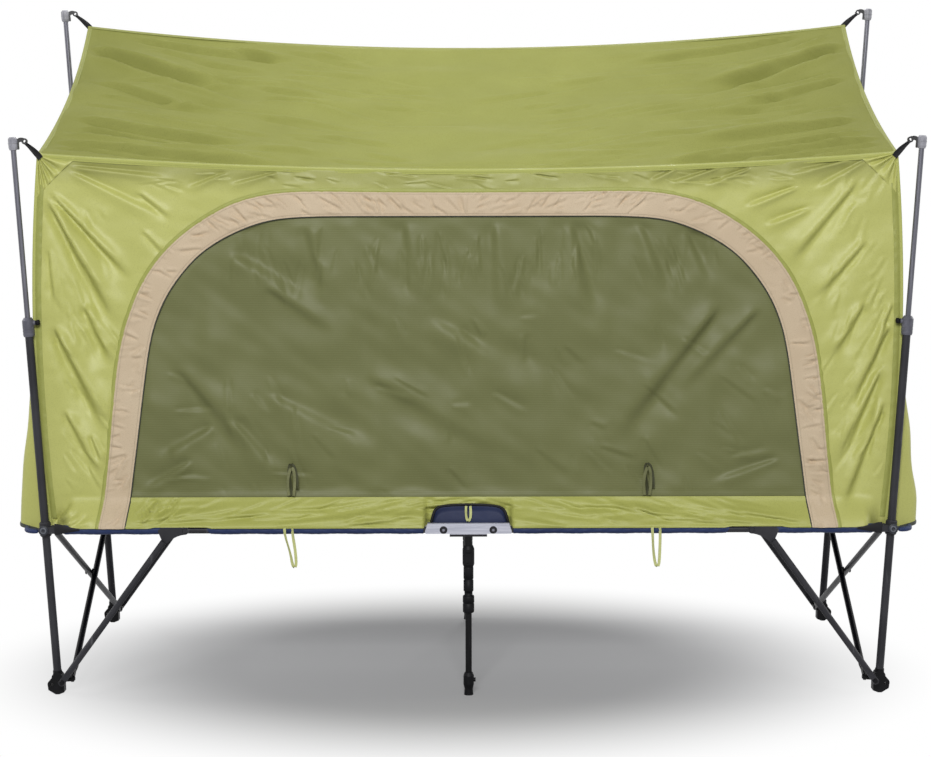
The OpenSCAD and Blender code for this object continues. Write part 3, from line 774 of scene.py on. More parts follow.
# --- Door panel ---
# The closed door is a dark olive net backed with a dull lining, so it shows only fine rows
# of mesh. It hangs from the arch with loose vertical folds and a few diagonal pulls.
olive_net, tree = new_paint("olive_net", 0.5, specular=0.3)
lining = blend_tones(tree, grain_of(tree, 5, 4), srgb(98, 101, 60), srgb(106, 109, 67), 0.2, 0.8)
mesh_and_highlight = worked(tree, "MULTIPLY", bands(tree, "Z", 0.0042, 0.5), bands(tree, "X", 0.0022, 0.5))
# The mesh rows are tinted lighter than the lining: partly the net's own colour, partly a painted highlight on
# its threads.
tint(tree, mesh_and_highlight, lining, srgb(124, 127, 88), 0.15, 1.1)
roughen(tree, grain_of(tree, 30), 0.42, 0.58)
raise_by(tree, grain_of(tree, 50, 4, distortion=0.4), 0.0003, 0.6)
raise_by(tree, mesh_and_highlight, 0.0002, 0.5)

panel_low, panel_high = 0.4675, 1.1325
panel_edge, _ = even_line(
    [tuple(along_line(door_inner, np.array([s]))[0]) for s in np.linspace(0, 1, 160)]
)
panel_creases = [
    (0.600, 0.930, 0.330, 0.580, 0.034, -0.0080),
    (0.690, 0.920, 0.480, 0.700, 0.026, -0.0050),
    (0.740, 0.560, 0.560, 0.500, 0.014, 0.0040),
    (-0.650, 0.560, -0.780, 0.480, 0.016, 0.0045),
    (-0.600, 0.640, -0.740, 0.560, 0.020, 0.0050),
    (-0.690, 0.780, -0.500, 0.560, 0.034, 0.0060),
    (-0.560, 1.050, -0.350, 0.930, 0.034, -0.0055),
    (-0.480, 0.970, -0.300, 0.850, 0.026, 0.0040),
    (-0.380, 1.120, -0.330, 0.900, 0.030, 0.0040),
    (-0.150, 1.125, -0.120, 0.920, 0.032, 0.0040),
    (0.060, 1.125, 0.070, 0.880, 0.032, 0.0045),
    (0.240, 1.125, 0.300, 0.880, 0.032, -0.0050),
    (0.400, 1.120, 0.470, 0.950, 0.026, -0.0045),
    (0.510, 1.100, 0.570, 0.960, 0.022, -0.0040),
    (-0.560, 0.660, -0.440, 0.520, 0.022, -0.0045),
    (-0.480, 0.720, -0.200, 0.580, 0.032, -0.0045),
    (-0.250, 0.760, 0.100, 0.560, 0.040, 0.0045),
    (-0.100, 0.900, 0.250, 0.700, 0.042, -0.0040),
]
panel_creases += scatter_creases(31, 70, (-0.55, 0.6, 1.02, 1.11), -1.5, 0.35, 0.09, 0.007, 0.0014)
panel_creases += scatter_creases(32, 60, (-0.74, 0.7, 0.48, 0.9), -0.7, 0.9, 0.09, 0.010, 0.0016)
for side, hand in halves:
    def panel_place(u, v):
        z = panel_low + v * (panel_high - panel_low)
        half = np.interp(-z, -panel_edge[:, 1], panel_edge[:, 0]) + 0.010 * ease((1.1 - z) / 0.05)
        x = hand * u * half
        z = z + 0.010 * ease((v - 0.96) / 0.04)
        fade = ease((half - np.abs(x)) / 0.03) * ease((1.133 - z) / 0.03) * ease((z - panel_low) / 0.03)
        folds = 1.5 * crease_heights(x, z, panel_creases) + slack(x, z, 33, 0.22, 0.0036)
        folds = folds + slack(x, z, 34, 0.09, 0.0012)
        hem = 0.0016 * (1 - ease((z - panel_low - 0.0085) / 0.002))
        return x, -wall_y + 0.0022 - fade * folds - hem, z

    panel = cut_cloth(f"door_panel_{side}", (150, 150), panel_place, olive_net, (0.8, 0.67))
    sew(panel, f"post_f{side}", "door_mesh", post_gather(hand))
    if side == "l":
        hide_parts("door_panel")

# --- Door sill ---
# A low band of the wall's cloth runs under the door between the tape's feet. It is gathered
# towards the fold line, where it lifts over the centre plate.
sill_creases = [
    (-0.800, 0.420, -0.420, 0.455, 0.010, 0.0035), (-0.790, 0.412, -0.560, 0.430, 0.007, 0.0025),
    (-0.620, 0.424, -0.200, 0.464, 0.009, 0.0035), (-0.470, 0.418, -0.120, 0.448, 0.008, -0.0030),
    (-0.300, 0.414, -0.110, 0.428, 0.007, 0.0025), (0.800, 0.420, 0.450, 0.452, 0.010, -0.0035),
    (0.700, 0.414, 0.330, 0.436, 0.008, -0.0030), (0.520, 0.430, 0.160, 0.464, 0.009, -0.0035),
    (0.330, 0.424, 0.120, 0.452, 0.008, -0.0030), (0.240, 0.413, 0.115, 0.432, 0.006, 0.0025),
]
sill_creases += scatter_creases(41, 44, (-0.78, 0.0, 0.413, 0.450), 0.16, 0.22, 0.16, 0.0048, 0.0016)
sill_creases += scatter_creases(42, 44, (0.0, 0.78, 0.413, 0.450), 2.98, 0.22, 0.16, 0.0048, 0.0016)
sill_creases += scatter_creases(43, 30, (-0.80, -0.70, 0.413, 0.440), 0.8, 0.3, 0.05, 0.0040, 0.0022)
sill_top = 0.4695
# Painted shade: the sill takes the wall's cloth in a darker tone, for the shade it lies in.
sill_shaded_green = woven("sill_shaded_green", (162, 165, 86), (174, 177, 96), 0.42, 0.35)
for side, hand in halves:
    def sill_place(u, v):
        z = hem_z + v * (sill_top - hem_z)
        x = hand * u * (0.8085 - 0.011 * v)
        fade = within(v, 0.1, 0.12)
        edges = np.exp(-(((v - 0.94) / 0.05) ** 2)) + np.exp(-(((v - 0.06) / 0.05) ** 2))
        stand = 0.0006 + 0.0012 * edges + 1.9 * fade * crease_heights(x, z, sill_creases)
        return skirt(x, -wall_y - stand, z)

    sill = cut_cloth(f"door_sill_{side}", (160, 22), sill_place, sill_shaded_green, (0.8, 0.06))
    sew(sill, f"post_f{side}", "tent_fabric", post_gather(hand))

# --- Tent back wall ---
# The same cloth in one plain sheet, taller than the front, hung from the two back hooks. It
# folds away from its upper corners and slackens along the hem.
back_creases = []
for hand in (-1, 1):
    back_creases += [
        (hand * 0.990, 1.580, hand * 0.560, 1.130, 0.022, hand * 0.0075),
        (hand * 0.997, 1.560, hand * 0.700, 1.020, 0.024, hand * -0.0070),
        (hand * 1.000, 1.520, hand * 0.860, 0.980, 0.018, hand * 0.0060),
        (hand * 0.960, 1.590, hand * 0.420, 1.320, 0.020, hand * -0.0060),
        (hand * 0.900, 1.590, hand * 0.300, 1.480, 0.014, hand * 0.0040),
        (hand * 1.000, 0.900, hand * 0.800, 0.500, 0.022, hand * 0.0060),
        (hand * 0.960, 0.420, hand * 0.700, 0.560, 0.012, hand * 0.0040),
        (hand * 0.300, 0.420, hand * 0.120, 0.760, 0.026, hand * 0.0050),
    ]
back_creases += scatter_creases(51, 60, (-0.95, 0.95, 0.45, 1.5), -1.3, 0.6, 0.14, 0.010, 0.0018)
for side, hand in halves:
    def back_place(u, v):
        x = u * seam_point(v, corner_back)[0]
        z = hem_z + v * (ridge_z(x) - hem_z)
        x = hand * x
        fade = ease((1 - u) / 0.02) * within(v, 0.02, 0.02)
        folds = 1.8 * crease_heights(x, z, back_creases) + slack(x, z, 52, 0.25, 0.0034)
        folds = folds + slack(x, z, 53, 0.08, 0.0006)
        x, out, z = skirt(x, -wall_y - fade * folds, z)
        return x, -out, z

    back = cut_cloth(f"back_wall_{side}", (120, 140), back_place, tent_green, (1.0, 1.2))
    sew(
        back, f"post_b{side}", "tent_fabric", post_gather(hand, wall_y, 1.049),
        flat=(1.02, 1.22), area=1.20, rests_on=[f"cap_b{side}"],
    )
    if side == "l":
        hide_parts("tent_back")

# --- Tent end walls ---
# An end wall rises from the rounded end of the bed to the sloping edge of the roof. Its foot
# stands out past the posts, held by the bed's end.
def gable_point(depth):
    """The roof's side edge at a share of its depth, front to back: distance out and height."""
    bow = 4 * depth * (1 - depth)
    out = corner_front[0] + (corner_back[0] - corner_front[0]) * depth - 0.012 * bow
    return out, corner_front[1] + (corner_back[1] - corner_front[1]) * depth - 0.020 * bow


end_gather = (0, 1, 0), (0, -wall_y, 0), 0.34
end_creases = [
    (0.345, 1.540, 0.100, 0.900, 0.022, 0.0060), (0.350, 1.480, 0.240, 0.820, 0.018, -0.0050),
    (-0.350, 1.240, -0.120, 0.760, 0.020, -0.0060), (-0.352, 1.160, -0.260, 0.700, 0.014, 0.0040),
    (0.250, 1.480, -0.180, 1.150, 0.020, 0.0050), (-0.300, 0.420, -0.050, 0.720, 0.018, 0.0040),
    (0.300, 0.420, 0.080, 0.700, 0.018, -0.0040),
]
end_creases += scatter_creases(61, 40, (-0.3, 0.3, 0.45, 1.3), -1.4, 0.6, 0.12, 0.009, 0.0016)


def foot_out(depth):
    """How far an end wall's foot stands out beyond its corners, at a share of its depth."""
    return (0.0755 + 0.0015 * np.sin(7 * depth)) * (1 - (2 * depth - 1) ** 60)


def corner_dip(depth):
    """How far an end wall's hem dips where it turns in to the hubs, at a share of its depth."""
    return 0.0180 * (2 * depth - 1) ** 60


for side, hand in halves:
    def end_place(u, v):
        u = 0.5 - 0.5 * np.cos(math.pi * u)
        y = wall_y * (2 * u - 1)
        z = hem_z + v * (gable_point(u)[1] - hem_z)
        seams = (1 - u) * seam_point(v, corner_front)[0] + u * seam_point(v, corner_back)[0]
        bow = 4 * u * (1 - u)
        foot = foot_out(u) * np.clip(1 - v / 0.50, 0, 1) ** 1.05
        z = z - (0.0105 + corner_dip(u)) * foot_share(z)
        fade = within(u, 0.04, 0.04) * within(v, 0.02, 0.03)
        folds = 1.8 * crease_heights(y, z, end_creases) + slack(y, z, 62 + hand, 0.2, 0.0028)
        return hand * (seams - 0.012 * bow * v + foot + fade * folds), y, z

    end = cut_cloth(f"end_wall_{side}", (96, 130), end_place, tent_green, (0.75, 1.05))
    sew(end, f"post_f{side}", "tent_fabric", end_gather)
    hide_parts(f"tent_end_{side}")

# --- Tent roof ---
# One sheet that falls from the high back hooks to the low front ones and hangs slack between
# them. It is modelled in four quarters, one for each post that it folds up beside.
# Painted shade: the roof takes the walls' cloth in a darker tone, and shade_across darkens it further towards
# both ends.
roof_green = woven("roof_green", (147, 150, 80), (158, 161, 89), 0.6, 0.1)
shade_across(roof_green, per_x=1.0, per_z=0.0, low=0.15, high=0.95, value=0.84)
roof_creases = [
    (-0.985, 0.10, -0.380, 0.030, 0.018, 0.0050), (-0.975, 0.16, -0.450, 0.085, 0.020, -0.0045),
    (-0.960, 0.24, -0.520, 0.165, 0.018, 0.0040), (-0.995, 0.70, -0.600, 0.520, 0.022, 0.0060),
    (-0.990, 0.66, -0.500, 0.400, 0.024, -0.0050), (-0.970, 0.50, -0.620, 0.350, 0.016, 0.0035),
    (0.985, 0.10, 0.400, 0.030, 0.018, -0.0050), (0.975, 0.17, 0.460, 0.090, 0.020, 0.0045),
    (0.960, 0.25, 0.520, 0.165, 0.018, -0.0040), (0.995, 0.70, 0.600, 0.520, 0.022, -0.0060),
    (0.990, 0.66, 0.500, 0.400, 0.024, 0.0050), (0.970, 0.50, 0.620, 0.350, 0.016, -0.0035),
    (-0.900, 0.78, -0.400, 0.700, 0.014, 0.0035), (0.900, 0.78, 0.400, 0.700, 0.014, -0.0035),
    (-0.980, 0.055, -0.560, 0.012, 0.009, 0.0034), (-0.950, 0.045, -0.700, 0.020, 0.006, -0.0022),
    (-0.940, 0.190, -0.640, 0.120, 0.012, 0.0034), (-0.860, 0.300, -0.520, 0.240, 0.014, -0.0026),
    (0.980, 0.060, 0.620, 0.014, 0.008, -0.0030), (0.900, 0.140, 0.560, 0.060, 0.012, -0.0034),
    (0.960, 0.540, 0.640, 0.430, 0.012, 0.0030), (0.940, 0.620, 0.560, 0.540, 0.013, -0.0030),
    (0.960, 0.760, 0.840, 0.700, 0.008, 0.0030), (-0.620, 0.760, -0.480, 0.690, 0.012, 0.0034),
    (-0.400, 0.760, -0.250, 0.700, 0.014, -0.0030), (0.400, 0.035, -0.300, 0.020, 0.007, 0.0016),
]
roof_creases += scatter_creases(71, 70, (-0.97, -0.2, 0.02, 0.75), -0.22, 0.20, 0.22, 0.013, 0.0015)
roof_creases += scatter_creases(72, 70, (0.2, 0.97, 0.02, 0.75), 3.36, 0.20, 0.22, 0.013, 0.0015)
slope_length = 0.81


def roof_point(x_share, depth, hand):
    """A point of the roof: its share out from the middle, and its share from front to back."""
    x = hand * x_share * gable_point(depth)[0]
    bow = 4 * depth * (1 - depth)
    z = (1 - depth) * eave_z(x) + depth * ridge_z(x) - (0.012 + 0.008 * x_share**2) * bow
    run = depth * slope_length
    fade = ease((1 - x_share) / 0.02) * within(depth, 0.03, 0.03)
    folds = 3.2 * crease_heights(x, run, roof_creases) + slack(x, run, 73, 0.24, 0.0048, (0.35, 1))
    up = fade * folds
    return x, wall_y * (2 * depth - 1) - 0.43 * up, z + 0.9 * up


for tag, front, hand in corner_sides:
    def roof_place(u, v):
        return roof_point(u, (1 + front) / 4 + v / 2, hand)

    roof = cut_cloth(f"roof_{tag}", (130, 56), roof_place, roof_green, (1.0, 0.41))
    sew(
        roof, f"post_{tag}", "roof_fabric", post_gather(hand, 0, 1.052, 0.03),
        flat=(1.01, 0.41), held="hung", rests_on=[f"cap_{tag}"],
    )
    if tag == "bl":
        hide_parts("tent_roof")

# --- Welts ---
# Where two panels meet, their edges are rolled together and topstitched, which leaves a
# narrow raised welt: along the front and back of the roof, down its sides and at each corner.
welt_width, welt_inset = 0.018, 0.0032
welt_green = stitched(
    woven("welt_green", (168, 172, 92), (180, 184, 104), 0.42), welt_inset, welt_width
)
# Painted shade: the ridge and gable welts take the roof's darker tone, not the welt green of the front.
roof_shaded_welt = stitched(
    woven("roof_shaded_welt", (146, 150, 78), (158, 162, 88), 0.42), welt_inset, welt_width
)


def rows_of(*parts):
    """Stacks three parts, numbers or arrays, into rows of points."""
    size = max(np.size(part) for part in parts)
    return np.stack([np.broadcast_to(part, size) for part in parts], 1)


def wrap(line, one_way, other_way, reach=0.009, roll=0.0022):
    """A welt along a line: a strip that lies reach metres onto the panels either side."""
    first, second = unit(rows_of(*one_way)), unit(rows_of(*other_way))
    outward = unit(-(first + second))

    def place(u, v):
        swing = 2 * v - 1
        arm = np.abs(swing)
        side = np.where((swing < 0)[:, None], first, second)
        crown = roll * (1 - 0.55 * ease(arm / 0.5)) * (1 - 0.8 * ease((arm - 0.8) / 0.2))
        gather = 0.0004 * np.sin(u * 900 + 2 * np.sin(u * 70)) * arm
        return (line(u) + side * (arm * reach)[:, None] + outward * (crown + gather)[:, None]).T

    return place


for side, hand in halves:
    def eave_line(u):
        return rows_of(hand * u * corner_front[0], -wall_y, eave_z(u * corner_front[0]))

    def ridge_line(u):
        return rows_of(hand * u * corner_back[0], wall_y, ridge_z(u * corner_back[0]))

    def gable_line(u):
        out, height = gable_point(u)
        return rows_of(hand * out, wall_y * (2 * u - 1), height)

    def front_seam_line(u):
        out, height = seam_point(u, corner_front)
        return rows_of(hand * out, -wall_y, height)

    def back_seam_line(u):
        out, height = seam_point(u, corner_back)
        return rows_of(hand * out, wall_y, height)

    down, inward = (0, 0, -1), (-hand, 0, 0)
    welts = (
        ("eave", eave_line, down, (0, 0.9, 0.42), "f", welt_green, 1.0),
        ("ridge", ridge_line, down, (0, -0.9, -0.42), "b", roof_shaded_welt, 1.0),
        ("front_seam", front_seam_line, inward, (0, 1, 0), "f", welt_green, 0.87),
        ("back_seam", back_seam_line, inward, (0, -1, 0), "b", welt_green, 1.21),
        ("gable", gable_line, (-hand, 0, -0.12), down, "f", roof_shaded_welt, 0.81),
    )
    for name, line, first, second, row, paint, run in welts:
        gather, columns, on = post_gather(hand, -wall_y if row == "f" else wall_y), int(run * 260), "f"
        if name == "gable":
            gather, columns, on = end_gather, 220, "fb"
        welt = cut_cloth(
            f"welt_{name}_{side}", (columns, 12), wrap(line, first, second), paint, (run, welt_width)
        )
        sew(
            welt, f"post_{row}{side}", "tent_fabric", gather,
            flat=(run, 0.019), rests_on=[f"roof_{part}{side}" for part in on],
        )

# Beside each corner welt of the front a narrow puckered strip lies on the wall, in a darker
# green that is painted shade where the wall turns at the corner.
seam_shade_green = woven("seam_shade_green", (146, 150, 76), (160, 164, 88), 0.42)
for side, hand in halves:
    def band_place(u, v):
        out, z = seam_point(0.02 + 0.90 * u, corner_front)
        away = 0.006 + 0.013 * v
        x = hand * (out - away)
        stand = np.maximum(ease(away / 0.014) * front_heights(x, z), 0)
        pucker = 0.0006 * np.sin(150 * u + 2 * np.sin(23 * u)) * v
        return skirt(x, -wall_y - 0.0008 - stand - 0.0010 * arch(v) - pucker, z)

    band = cut_cloth(f"seam_band_{side}", (220, 8), band_place, seam_shade_green, (0.8, 0.013))
    sew(
        band, f"post_f{side}", "tent_fabric", post_gather(hand),
        flat=(0.79, 0.0135), rests_on=[f"front_wall_{side}"],
    )

# --- Hems ---
# The foot of each end wall is bound with dark tape, folded over its edge and stitched
# through. It dips at both ends, where it turns in to the hubs.
hem_cloth = woven("dark_tape", (44, 48, 40), (60, 64, 52), 0.6, 0.5, 0.0009, 0.00015, 0.2)
dark_tape = stitched(hem_cloth, 0.0022, 0.012)
for side, hand in halves:
    def end_foot(u, v):
        u = 0.5 - 0.5 * np.cos(math.pi * u)
        y = wall_y * (2 * u - 1)
        out = hem_x + foot_out(u) + 0.0012 * arch(v)
        return hand * (out + 0.0006), y, hem_z - 0.0108 - corner_dip(u) + 0.009 * v

    hem = cut_cloth(f"hem_end_{side}", (200, 8), end_foot, dark_tape, (0.86, 0.012), 0.0012)
    sew(hem, f"post_f{side}", "binding", end_gather)

# --- Corner patches ---
# A doubled three-cornered patch takes the pull of each hook. Its long seam gathers the cloth
# into short sharp ruffles that all point at the hook.
hooks = {"f": (corner_front, eave_z), "b": (corner_back, ridge_z)}
for tag, front, hand in corner_sides:
    corner, top_z = hooks[tag[0]]

    def patch_place(u, v):
        start_x, start_z = seam_point(1 - 0.104 / (corner[1] - hem_z), corner)
        end_x = corner[0] - 0.090
        x = start_x + (end_x - start_x) * u
        z = start_z + (top_z(end_x) - start_z) * u + 0.004 * arch(u)
        far = 0.10 + 0.90 * v
        x, z = corner[0] + (x - corner[0]) * far, corner[1] + (z - corner[1]) * far
        ruffle = 0.0046 * np.sin(34 * u + 3 * np.sin(5 * u + hand)) * ease(v / 0.2)
        ruffle = ruffle * (0.4 + 0.6 * arch(v))
        edge = within(u, 0.08, 0.08) * ease((1.04 - v) / 0.10)
        seam = 0.0005 * np.exp(-(((v - 0.94) / 0.03) ** 2))
        return hand * x, front * (wall_y + 0.0008 + edge * (0.0012 + ruffle) + seam), z

    patch = cut_cloth(f"corner_patch_{tag}", (72, 30), patch_place, tent_green, (0.13, 0.09))
    sew(patch, f"post_{tag}", "tent_fabric", post_gather(hand, front * wall_y))

# --- Corner straps ---
# Black polypropylene webbing, stitched flat on each corner and folded to a narrow loop that
# drops over the hook of the pole cap.
black_webbing = woven("black_webbing", (8, 8, 10), (20, 20, 23), 0.62, 0.25, 0.0016, 0.0005, 0, 0.0002)
for tag, front, hand in corner_sides:
    corner, _ = hooks[tag[0]]
    box_low, box_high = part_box(f"cap_{tag}")
    hook = min(abs(box_low[0]), abs(box_high[0])) + 0.007, front * 0.380, box_high[2] - 0.0125
    sewn_x, sewn_z = corner[0] - 0.008, corner[1] - 0.008

    def strap_place(u, v):
        start = np.array(hook)
        way = np.array((sewn_x, front * (wall_y + 0.0045), sewn_z)) - start
        across = np.array((-way[2], 0, way[0]))
        across /= np.linalg.norm(across)
        half = 0.0035 + 0.0035 * ease(v / 0.8)
        fold = 0.0012 * np.cos(2 * math.pi * u) * (1 - 0.5 * v)
        x, y, z = (start + way * v[:, None] + across * ((2 * u - 1) * half)[:, None]).T
        return hand * x, y + front * (0.0016 + fold), z + 0.002 * arch(v)

    strap = cut_cloth(f"corner_strap_{tag}", (12, 26), strap_place, black_webbing, (0.026, 0.06), 0.0016)
    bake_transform(strap)

# --- Bed ends ---
# Past the posts the canvas is rolled round a flat stiffener that turns in to the hubs, and at
# each post a black tab lies on the rail, a dark piece that stands for the shade at the bed's corner.
flap_black = woven("flap_black", (7, 7, 10), (17, 17, 22), 0.6, 0.25, 0.0012, 0.0002)
roll_x, roll_z = 1.0120, 0.3950
for side, hand in halves:
    def roll_place(u, v):
        turn, reach = 2 * math.pi * v, 2 * u - 1
        bend = 0.5 * math.pi * np.clip((np.abs(reach) - 0.90) / 0.10, 0, 1)
        swell = (1 + 0.08 * np.sin(30 * reach + 2 * turn)) * np.sqrt(np.clip(1 - reach ** 160, 0, 1))
        round_out = 0.0055 * swell * np.cos(turn)
        out = roll_x + (0.035 + round_out) * np.cos(bend)
        straight = 0.364 * np.clip(np.abs(reach) / 0.90, 0, 1)
        y = np.sign(reach) * (straight + (0.030 + round_out) * np.sin(bend))
        middle = roll_z - 0.0010 * ease(bend / 1.2)
        return hand * out, y, middle + 0.0056 * swell * np.sin(turn)

    roll = cut_cloth(
        f"bed_end_roll_{side}", (220, 16), roll_place, navy_canvas, (0.82, 0.037), 0.0007, tube=True
    )
    sew(
        roll, f"rail_f{side}", "bed_fabric", bed_gather,
        flat=(0.82, 0.037), rests_on=[f"bed_canvas_{side}"],
    )
    for row, front in long_sides:
        def tab_place(u, v):
            high, low = 0.4150 - 0.0120 * ease(u), 0.3880 + 0.0110 * u
            z = low + (high - low) * v
            out = 0.0118 + 0.0012 * arch(v) - 0.0006 * u
            return hand * (0.972 - 0.058 * u), front * (rail_y + out), z

        shade_tab = cut_cloth(f"bed_tab_{row}{side}", (20, 10), tab_place, flap_black, (0.058, 0.022), 0.0014)
        rail = f"rail_{row}{side}"
        sew(shade_tab, rail, "binding", flat=(0.06, 0.022), rests_on=[rail])

# --- Fold flap ---
# Over each centre plate the bed's canvas stands up in a low padded flap edged with black
# tape, so the tent's foot isn't pinched when the rails fold.
navy_padding = woven("navy_padding", (16, 26, 58), (23, 35, 71), **canvas)
flap_foot = 0.394
flap_line = even_line(
    [(-0.089, 0.394), (-0.084, 0.420), (-0.076, 0.4440), (-0.052, 0.4495), (0.000, 0.4505),
     (0.060, 0.4495), (0.083, 0.4420), (0.090, 0.420), (0.096, 0.394)], 3)
flap_middle = np.array((0.003, flap_foot))
plates = {"f": "plate_front", "b": "plate_back"}


def flap_edge(u, grow):
    """The flap's edge from its left foot over the top to its right foot, grown outward."""
    point = along_line(flap_line, u)
    return point + grow * unit(point - flap_middle)


def flap_lean(z):
    """How far the flap stands out at each height: most at its foot, over the plate."""
    return 0.0095 + 0.008 * (1 - ease((z - 0.411) / 0.045))


flaps = {}
for row, front in long_sides:
    def flap_place(u, v):
        foot = np.stack([-0.086 + 0.178 * u, flap_foot + 0 * u], 1)
        point = foot + (flap_edge(u, 0.0) - foot) * v[:, None]
        swell = 0.0075 * within(v, 0.3, 0.25) * within(u, 0.12, 0.12)
        fold = 0.0012 * np.sin(70 * point[:, 0] + 30 * point[:, 1]) * ease((1 - v) / 0.3)
        out = wall_y + swell + fold + flap_lean(point[:, 1])
        return -front * point[:, 0], front * out, point[:, 1]

    def flap_trim_place(u, v):
        inner, outer = flap_edge(u, -0.001), flap_edge(u, 0.0048)
        point = inner + (outer - inner) * v[:, None]
        out = wall_y + 0.001 + 0.002 * arch(v) + flap_lean(point[:, 1])
        return -front * point[:, 0], front * out, point[:, 1]

    flap = cut_cloth(f"fold_flap_{row}", (72, 30), flap_place, navy_padding, (0.19, 0.06), 0.0012)
    trim = cut_cloth(
        f"fold_flap_trim_{row}", (90, 8), flap_trim_place, flap_black, (0.27, 0.0075), 0.0014
    )
    flaps[row] = flap, trim
    for piece in flaps[row]:
        sew(piece, plates[row], "bed_fabric")

# --- Loops and ties ---
# Narrow tapes for tying up the folded cot: two loops hang from the sill and one lies over each
# plate. At each side of the door a doubled strap ties the rolled net open, and a dark strip laid
# behind it shows round its edge as painted shadow.
narrow = {"thread": 0.0008, "sheen": 0.05}
pale_tape = woven("pale_tape", (186, 190, 122), (204, 208, 146), 0.5, depth=0.0002, **narrow)
shadow_tape = woven("shadow_tape", (52, 54, 32), (72, 74, 48), 0.55, depth=0.0003, **narrow)
pale_strap = woven("pale_strap", (104, 106, 70), (130, 132, 94), 0.55, depth=0.0003, **narrow)


def ribbon(name, path, width, paint, turn=0.05, thickness=0.0012):
    """A narrow tape along a path of points, width metres wide and turned a little about it."""
    line = even_line(path, 3)
    length = line[1][-1]

    def place(u, v):
        at = u * length
        way = unit(walk(line, at + 0.001) - walk(line, at - 0.001))
        angle = turn + 0.5 * np.sin(2.3 * math.pi * u)
        flat = rows_of(np.cos(angle), -np.sin(angle), 0 * angle)
        across = unit(flat - way * np.sum(flat * way, axis=1)[:, None])
        return (walk(line, at) + across * ((v - 0.5) * width)[:, None]).T

    return cut_cloth(name, (60, 6), place, paint, (float(length), width), thickness)


for side, hand, x, lean, tie_x in (("l", -1, -0.421, 0.006, -0.416), ("r", 1, 0.443, -0.004, 0.425)):
    loop = ribbon(
        f"hanging_loop_{side}",
        [(x - 0.011, -0.4125, 0.404), (x - 0.010, -0.4130, 0.385), (x - 0.004 + lean, -0.4120, 0.345),
         (x + 0.001 + lean, -0.4115, 0.314), (x + 0.006 + lean, -0.4115, 0.3085),
         (x + 0.010 + lean, -0.4105, 0.316), (x + 0.010 + lean * 0.6, -0.4090, 0.350),
         (x + 0.008, -0.4100, 0.385), (x + 0.007, -0.4115, 0.404)],
        0.0068, pale_tape, 0.35,
    )
    sew(loop, f"post_f{side}", "tent_fabric", post_gather(hand))
    toggle = ribbon(
        f"door_toggle_{side}",
        [(tie_x - 0.0080, -0.3745, 0.475), (tie_x - 0.0105, -0.3765, 0.498), (tie_x - 0.0085, -0.3765, 0.524),
         (tie_x - 0.0020, -0.3770, 0.544), (tie_x + 0.0045, -0.3770, 0.536), (tie_x + 0.0062, -0.3765, 0.512),
         (tie_x + 0.0055, -0.3765, 0.492), (tie_x + 0.0030, -0.3745, 0.474)],
        0.0068, pale_strap, thickness=0.0018,
    )
    # Painted shadow: a dark strip behind the strap, wider than it, that shows round its edge as its shadow on
    # the net.
    tie_shadow = ribbon(
        f"door_tie_loop_{side}",
        [(tie_x - 0.0020, -0.3740, 0.476), (tie_x - 0.0025, -0.3748, 0.505), (tie_x - 0.0090, -0.3745, 0.530),
         (tie_x - 0.0055, -0.3742, 0.552), (tie_x + 0.0060, -0.3742, 0.546), (tie_x + 0.0120, -0.3745, 0.520),
         (tie_x + 0.0125, -0.3740, 0.492)],
        0.0058, shadow_tape, thickness=0.0016,
    )
    for piece in (toggle, tie_shadow):
        sew(piece, f"post_f{side}", "door_mesh", post_gather(hand))
for row, front in long_sides:
    centre_loop = ribbon(
        f"centre_loop_{row}",
        [(-0.0052, front * 0.383, 0.450), (-0.0058, front * 0.391, 0.436), (-0.0046, front * 0.394, 0.424),
         (0.000, front * 0.395, 0.414), (0.0050, front * 0.394, 0.424), (0.0058, front * 0.391, 0.436),
         (0.0050, front * 0.383, 0.450)],
        0.0058, pale_tape, 0.2,
    )
    sew(centre_loop, plates[row], "tent_fabric")
    flap, trim = flaps[row]

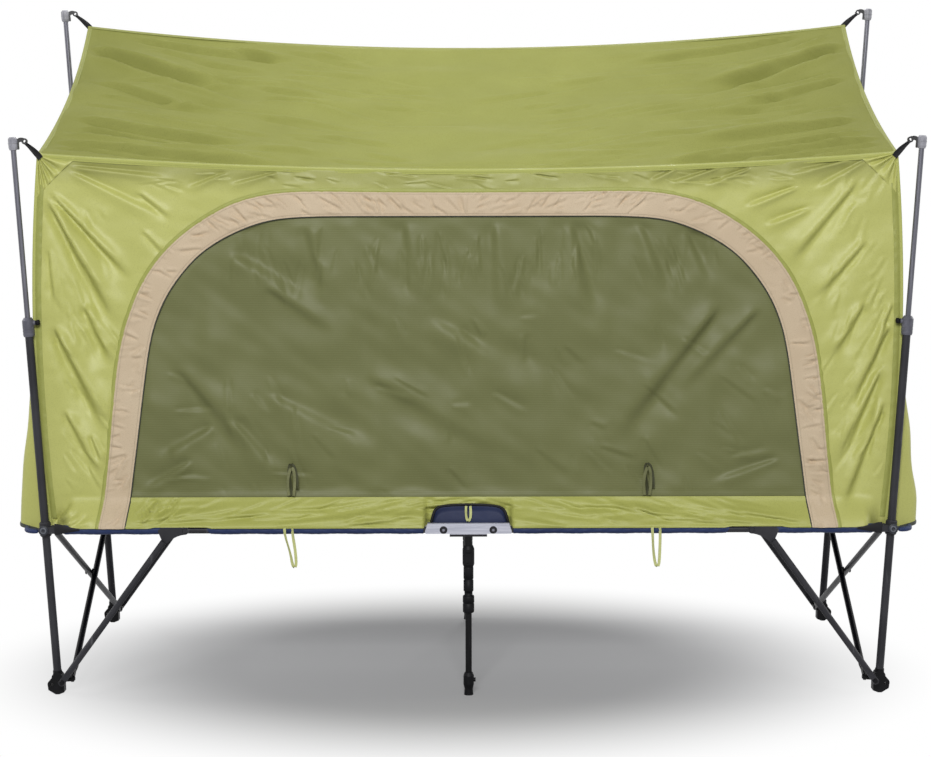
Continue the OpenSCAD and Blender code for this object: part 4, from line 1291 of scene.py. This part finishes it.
# --- Pivot caps and guide sleeves ---
# Each hub's pin is covered by a stepped nylon cap with a lighter grey ring. A black moulded sleeve
# with a cam ring guides the lower tube of each centre leg.
cap_grey, tree = new_paint("cap_grey", 0.5, specular=0.3)
ring_place = 0.43
off_ring = worked(tree, "SUBTRACT", coordinate(tree, "Y", on_cut=True), ring_place)
ring_grey = blend_tones(tree, grain_of(tree, 600, 3), srgb(84, 88, 95), srgb(108, 112, 119), 0.3, 0.7)
moulded = blend_tones(tree, grain_of(tree, 200, 3), srgb(34, 36, 42), srgb(52, 55, 62), 0.3, 0.7)
tint(tree, worked(tree, "ABSOLUTE", off_ring), ring_grey, moulded, 0.09, 0.13)
raise_by(tree, grain_of(tree, 1500, 2), 0.0001, 0.5)


def turned(name, profile, middle, along, paint):
    """A piece turned about an axis, along y or z, through middle; profile holds radius and place."""
    outline = np.array(profile, float)
    steps = np.arange(len(outline))

    def place(u, v):
        radius, run = (np.interp(v * steps[-1], steps, part) for part in outline.T)
        first, second = radius * np.cos(2 * math.pi * u), radius * np.sin(2 * math.pi * u)
        offsets = (first, run, second) if along == "y" else (first, second, run)
        return [start + offset for start, offset in zip(middle, offsets)]

    return cut_cloth(name, (40, steps[-1]), place, paint, (1.0, 1.0), 0, tube=True)


cap_profile = [
    (0.0000, 0.0062), (0.0034, 0.0062), (0.0040, 0.0074), (0.0066, 0.0074), (0.0076, 0.0062),
    (0.0108, 0.0058), (0.0118, 0.0048), (0.0119, 0.0030),
]
for tag, front, hand in corner_sides:
    outline = [(radius, front * out) for radius, out in cap_profile]
    pin = float(hand), front * 0.4005, 0.397
    cap = turned(f"pivot_cap_{tag}", outline, pin, "y", cap_grey)
    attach(cap, f"rail_{tag}")
sleeve_profile = [
    (0.0082, 0.3088), (0.0112, 0.3086), (0.0118, 0.3060), (0.0118, 0.2800), (0.0106, 0.2792),
    (0.0106, 0.2768), (0.0118, 0.2760), (0.0118, 0.2520), (0.0112, 0.2500), (0.0096, 0.2494),
    (0.0096, 0.2400), (0.0126, 0.2394), (0.0136, 0.2376), (0.0138, 0.2230), (0.0128, 0.2222),
    (0.0128, 0.2200), (0.0136, 0.2192), (0.0134, 0.2010), (0.0124, 0.1990), (0.0082, 0.1988),
]
for row, front in long_sides:
    guide = turned(f"leg_guide_{row}", sleeve_profile, (0.0, front * rail_y, 0.0), "z", moulded_black)
    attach(guide, plates[row])
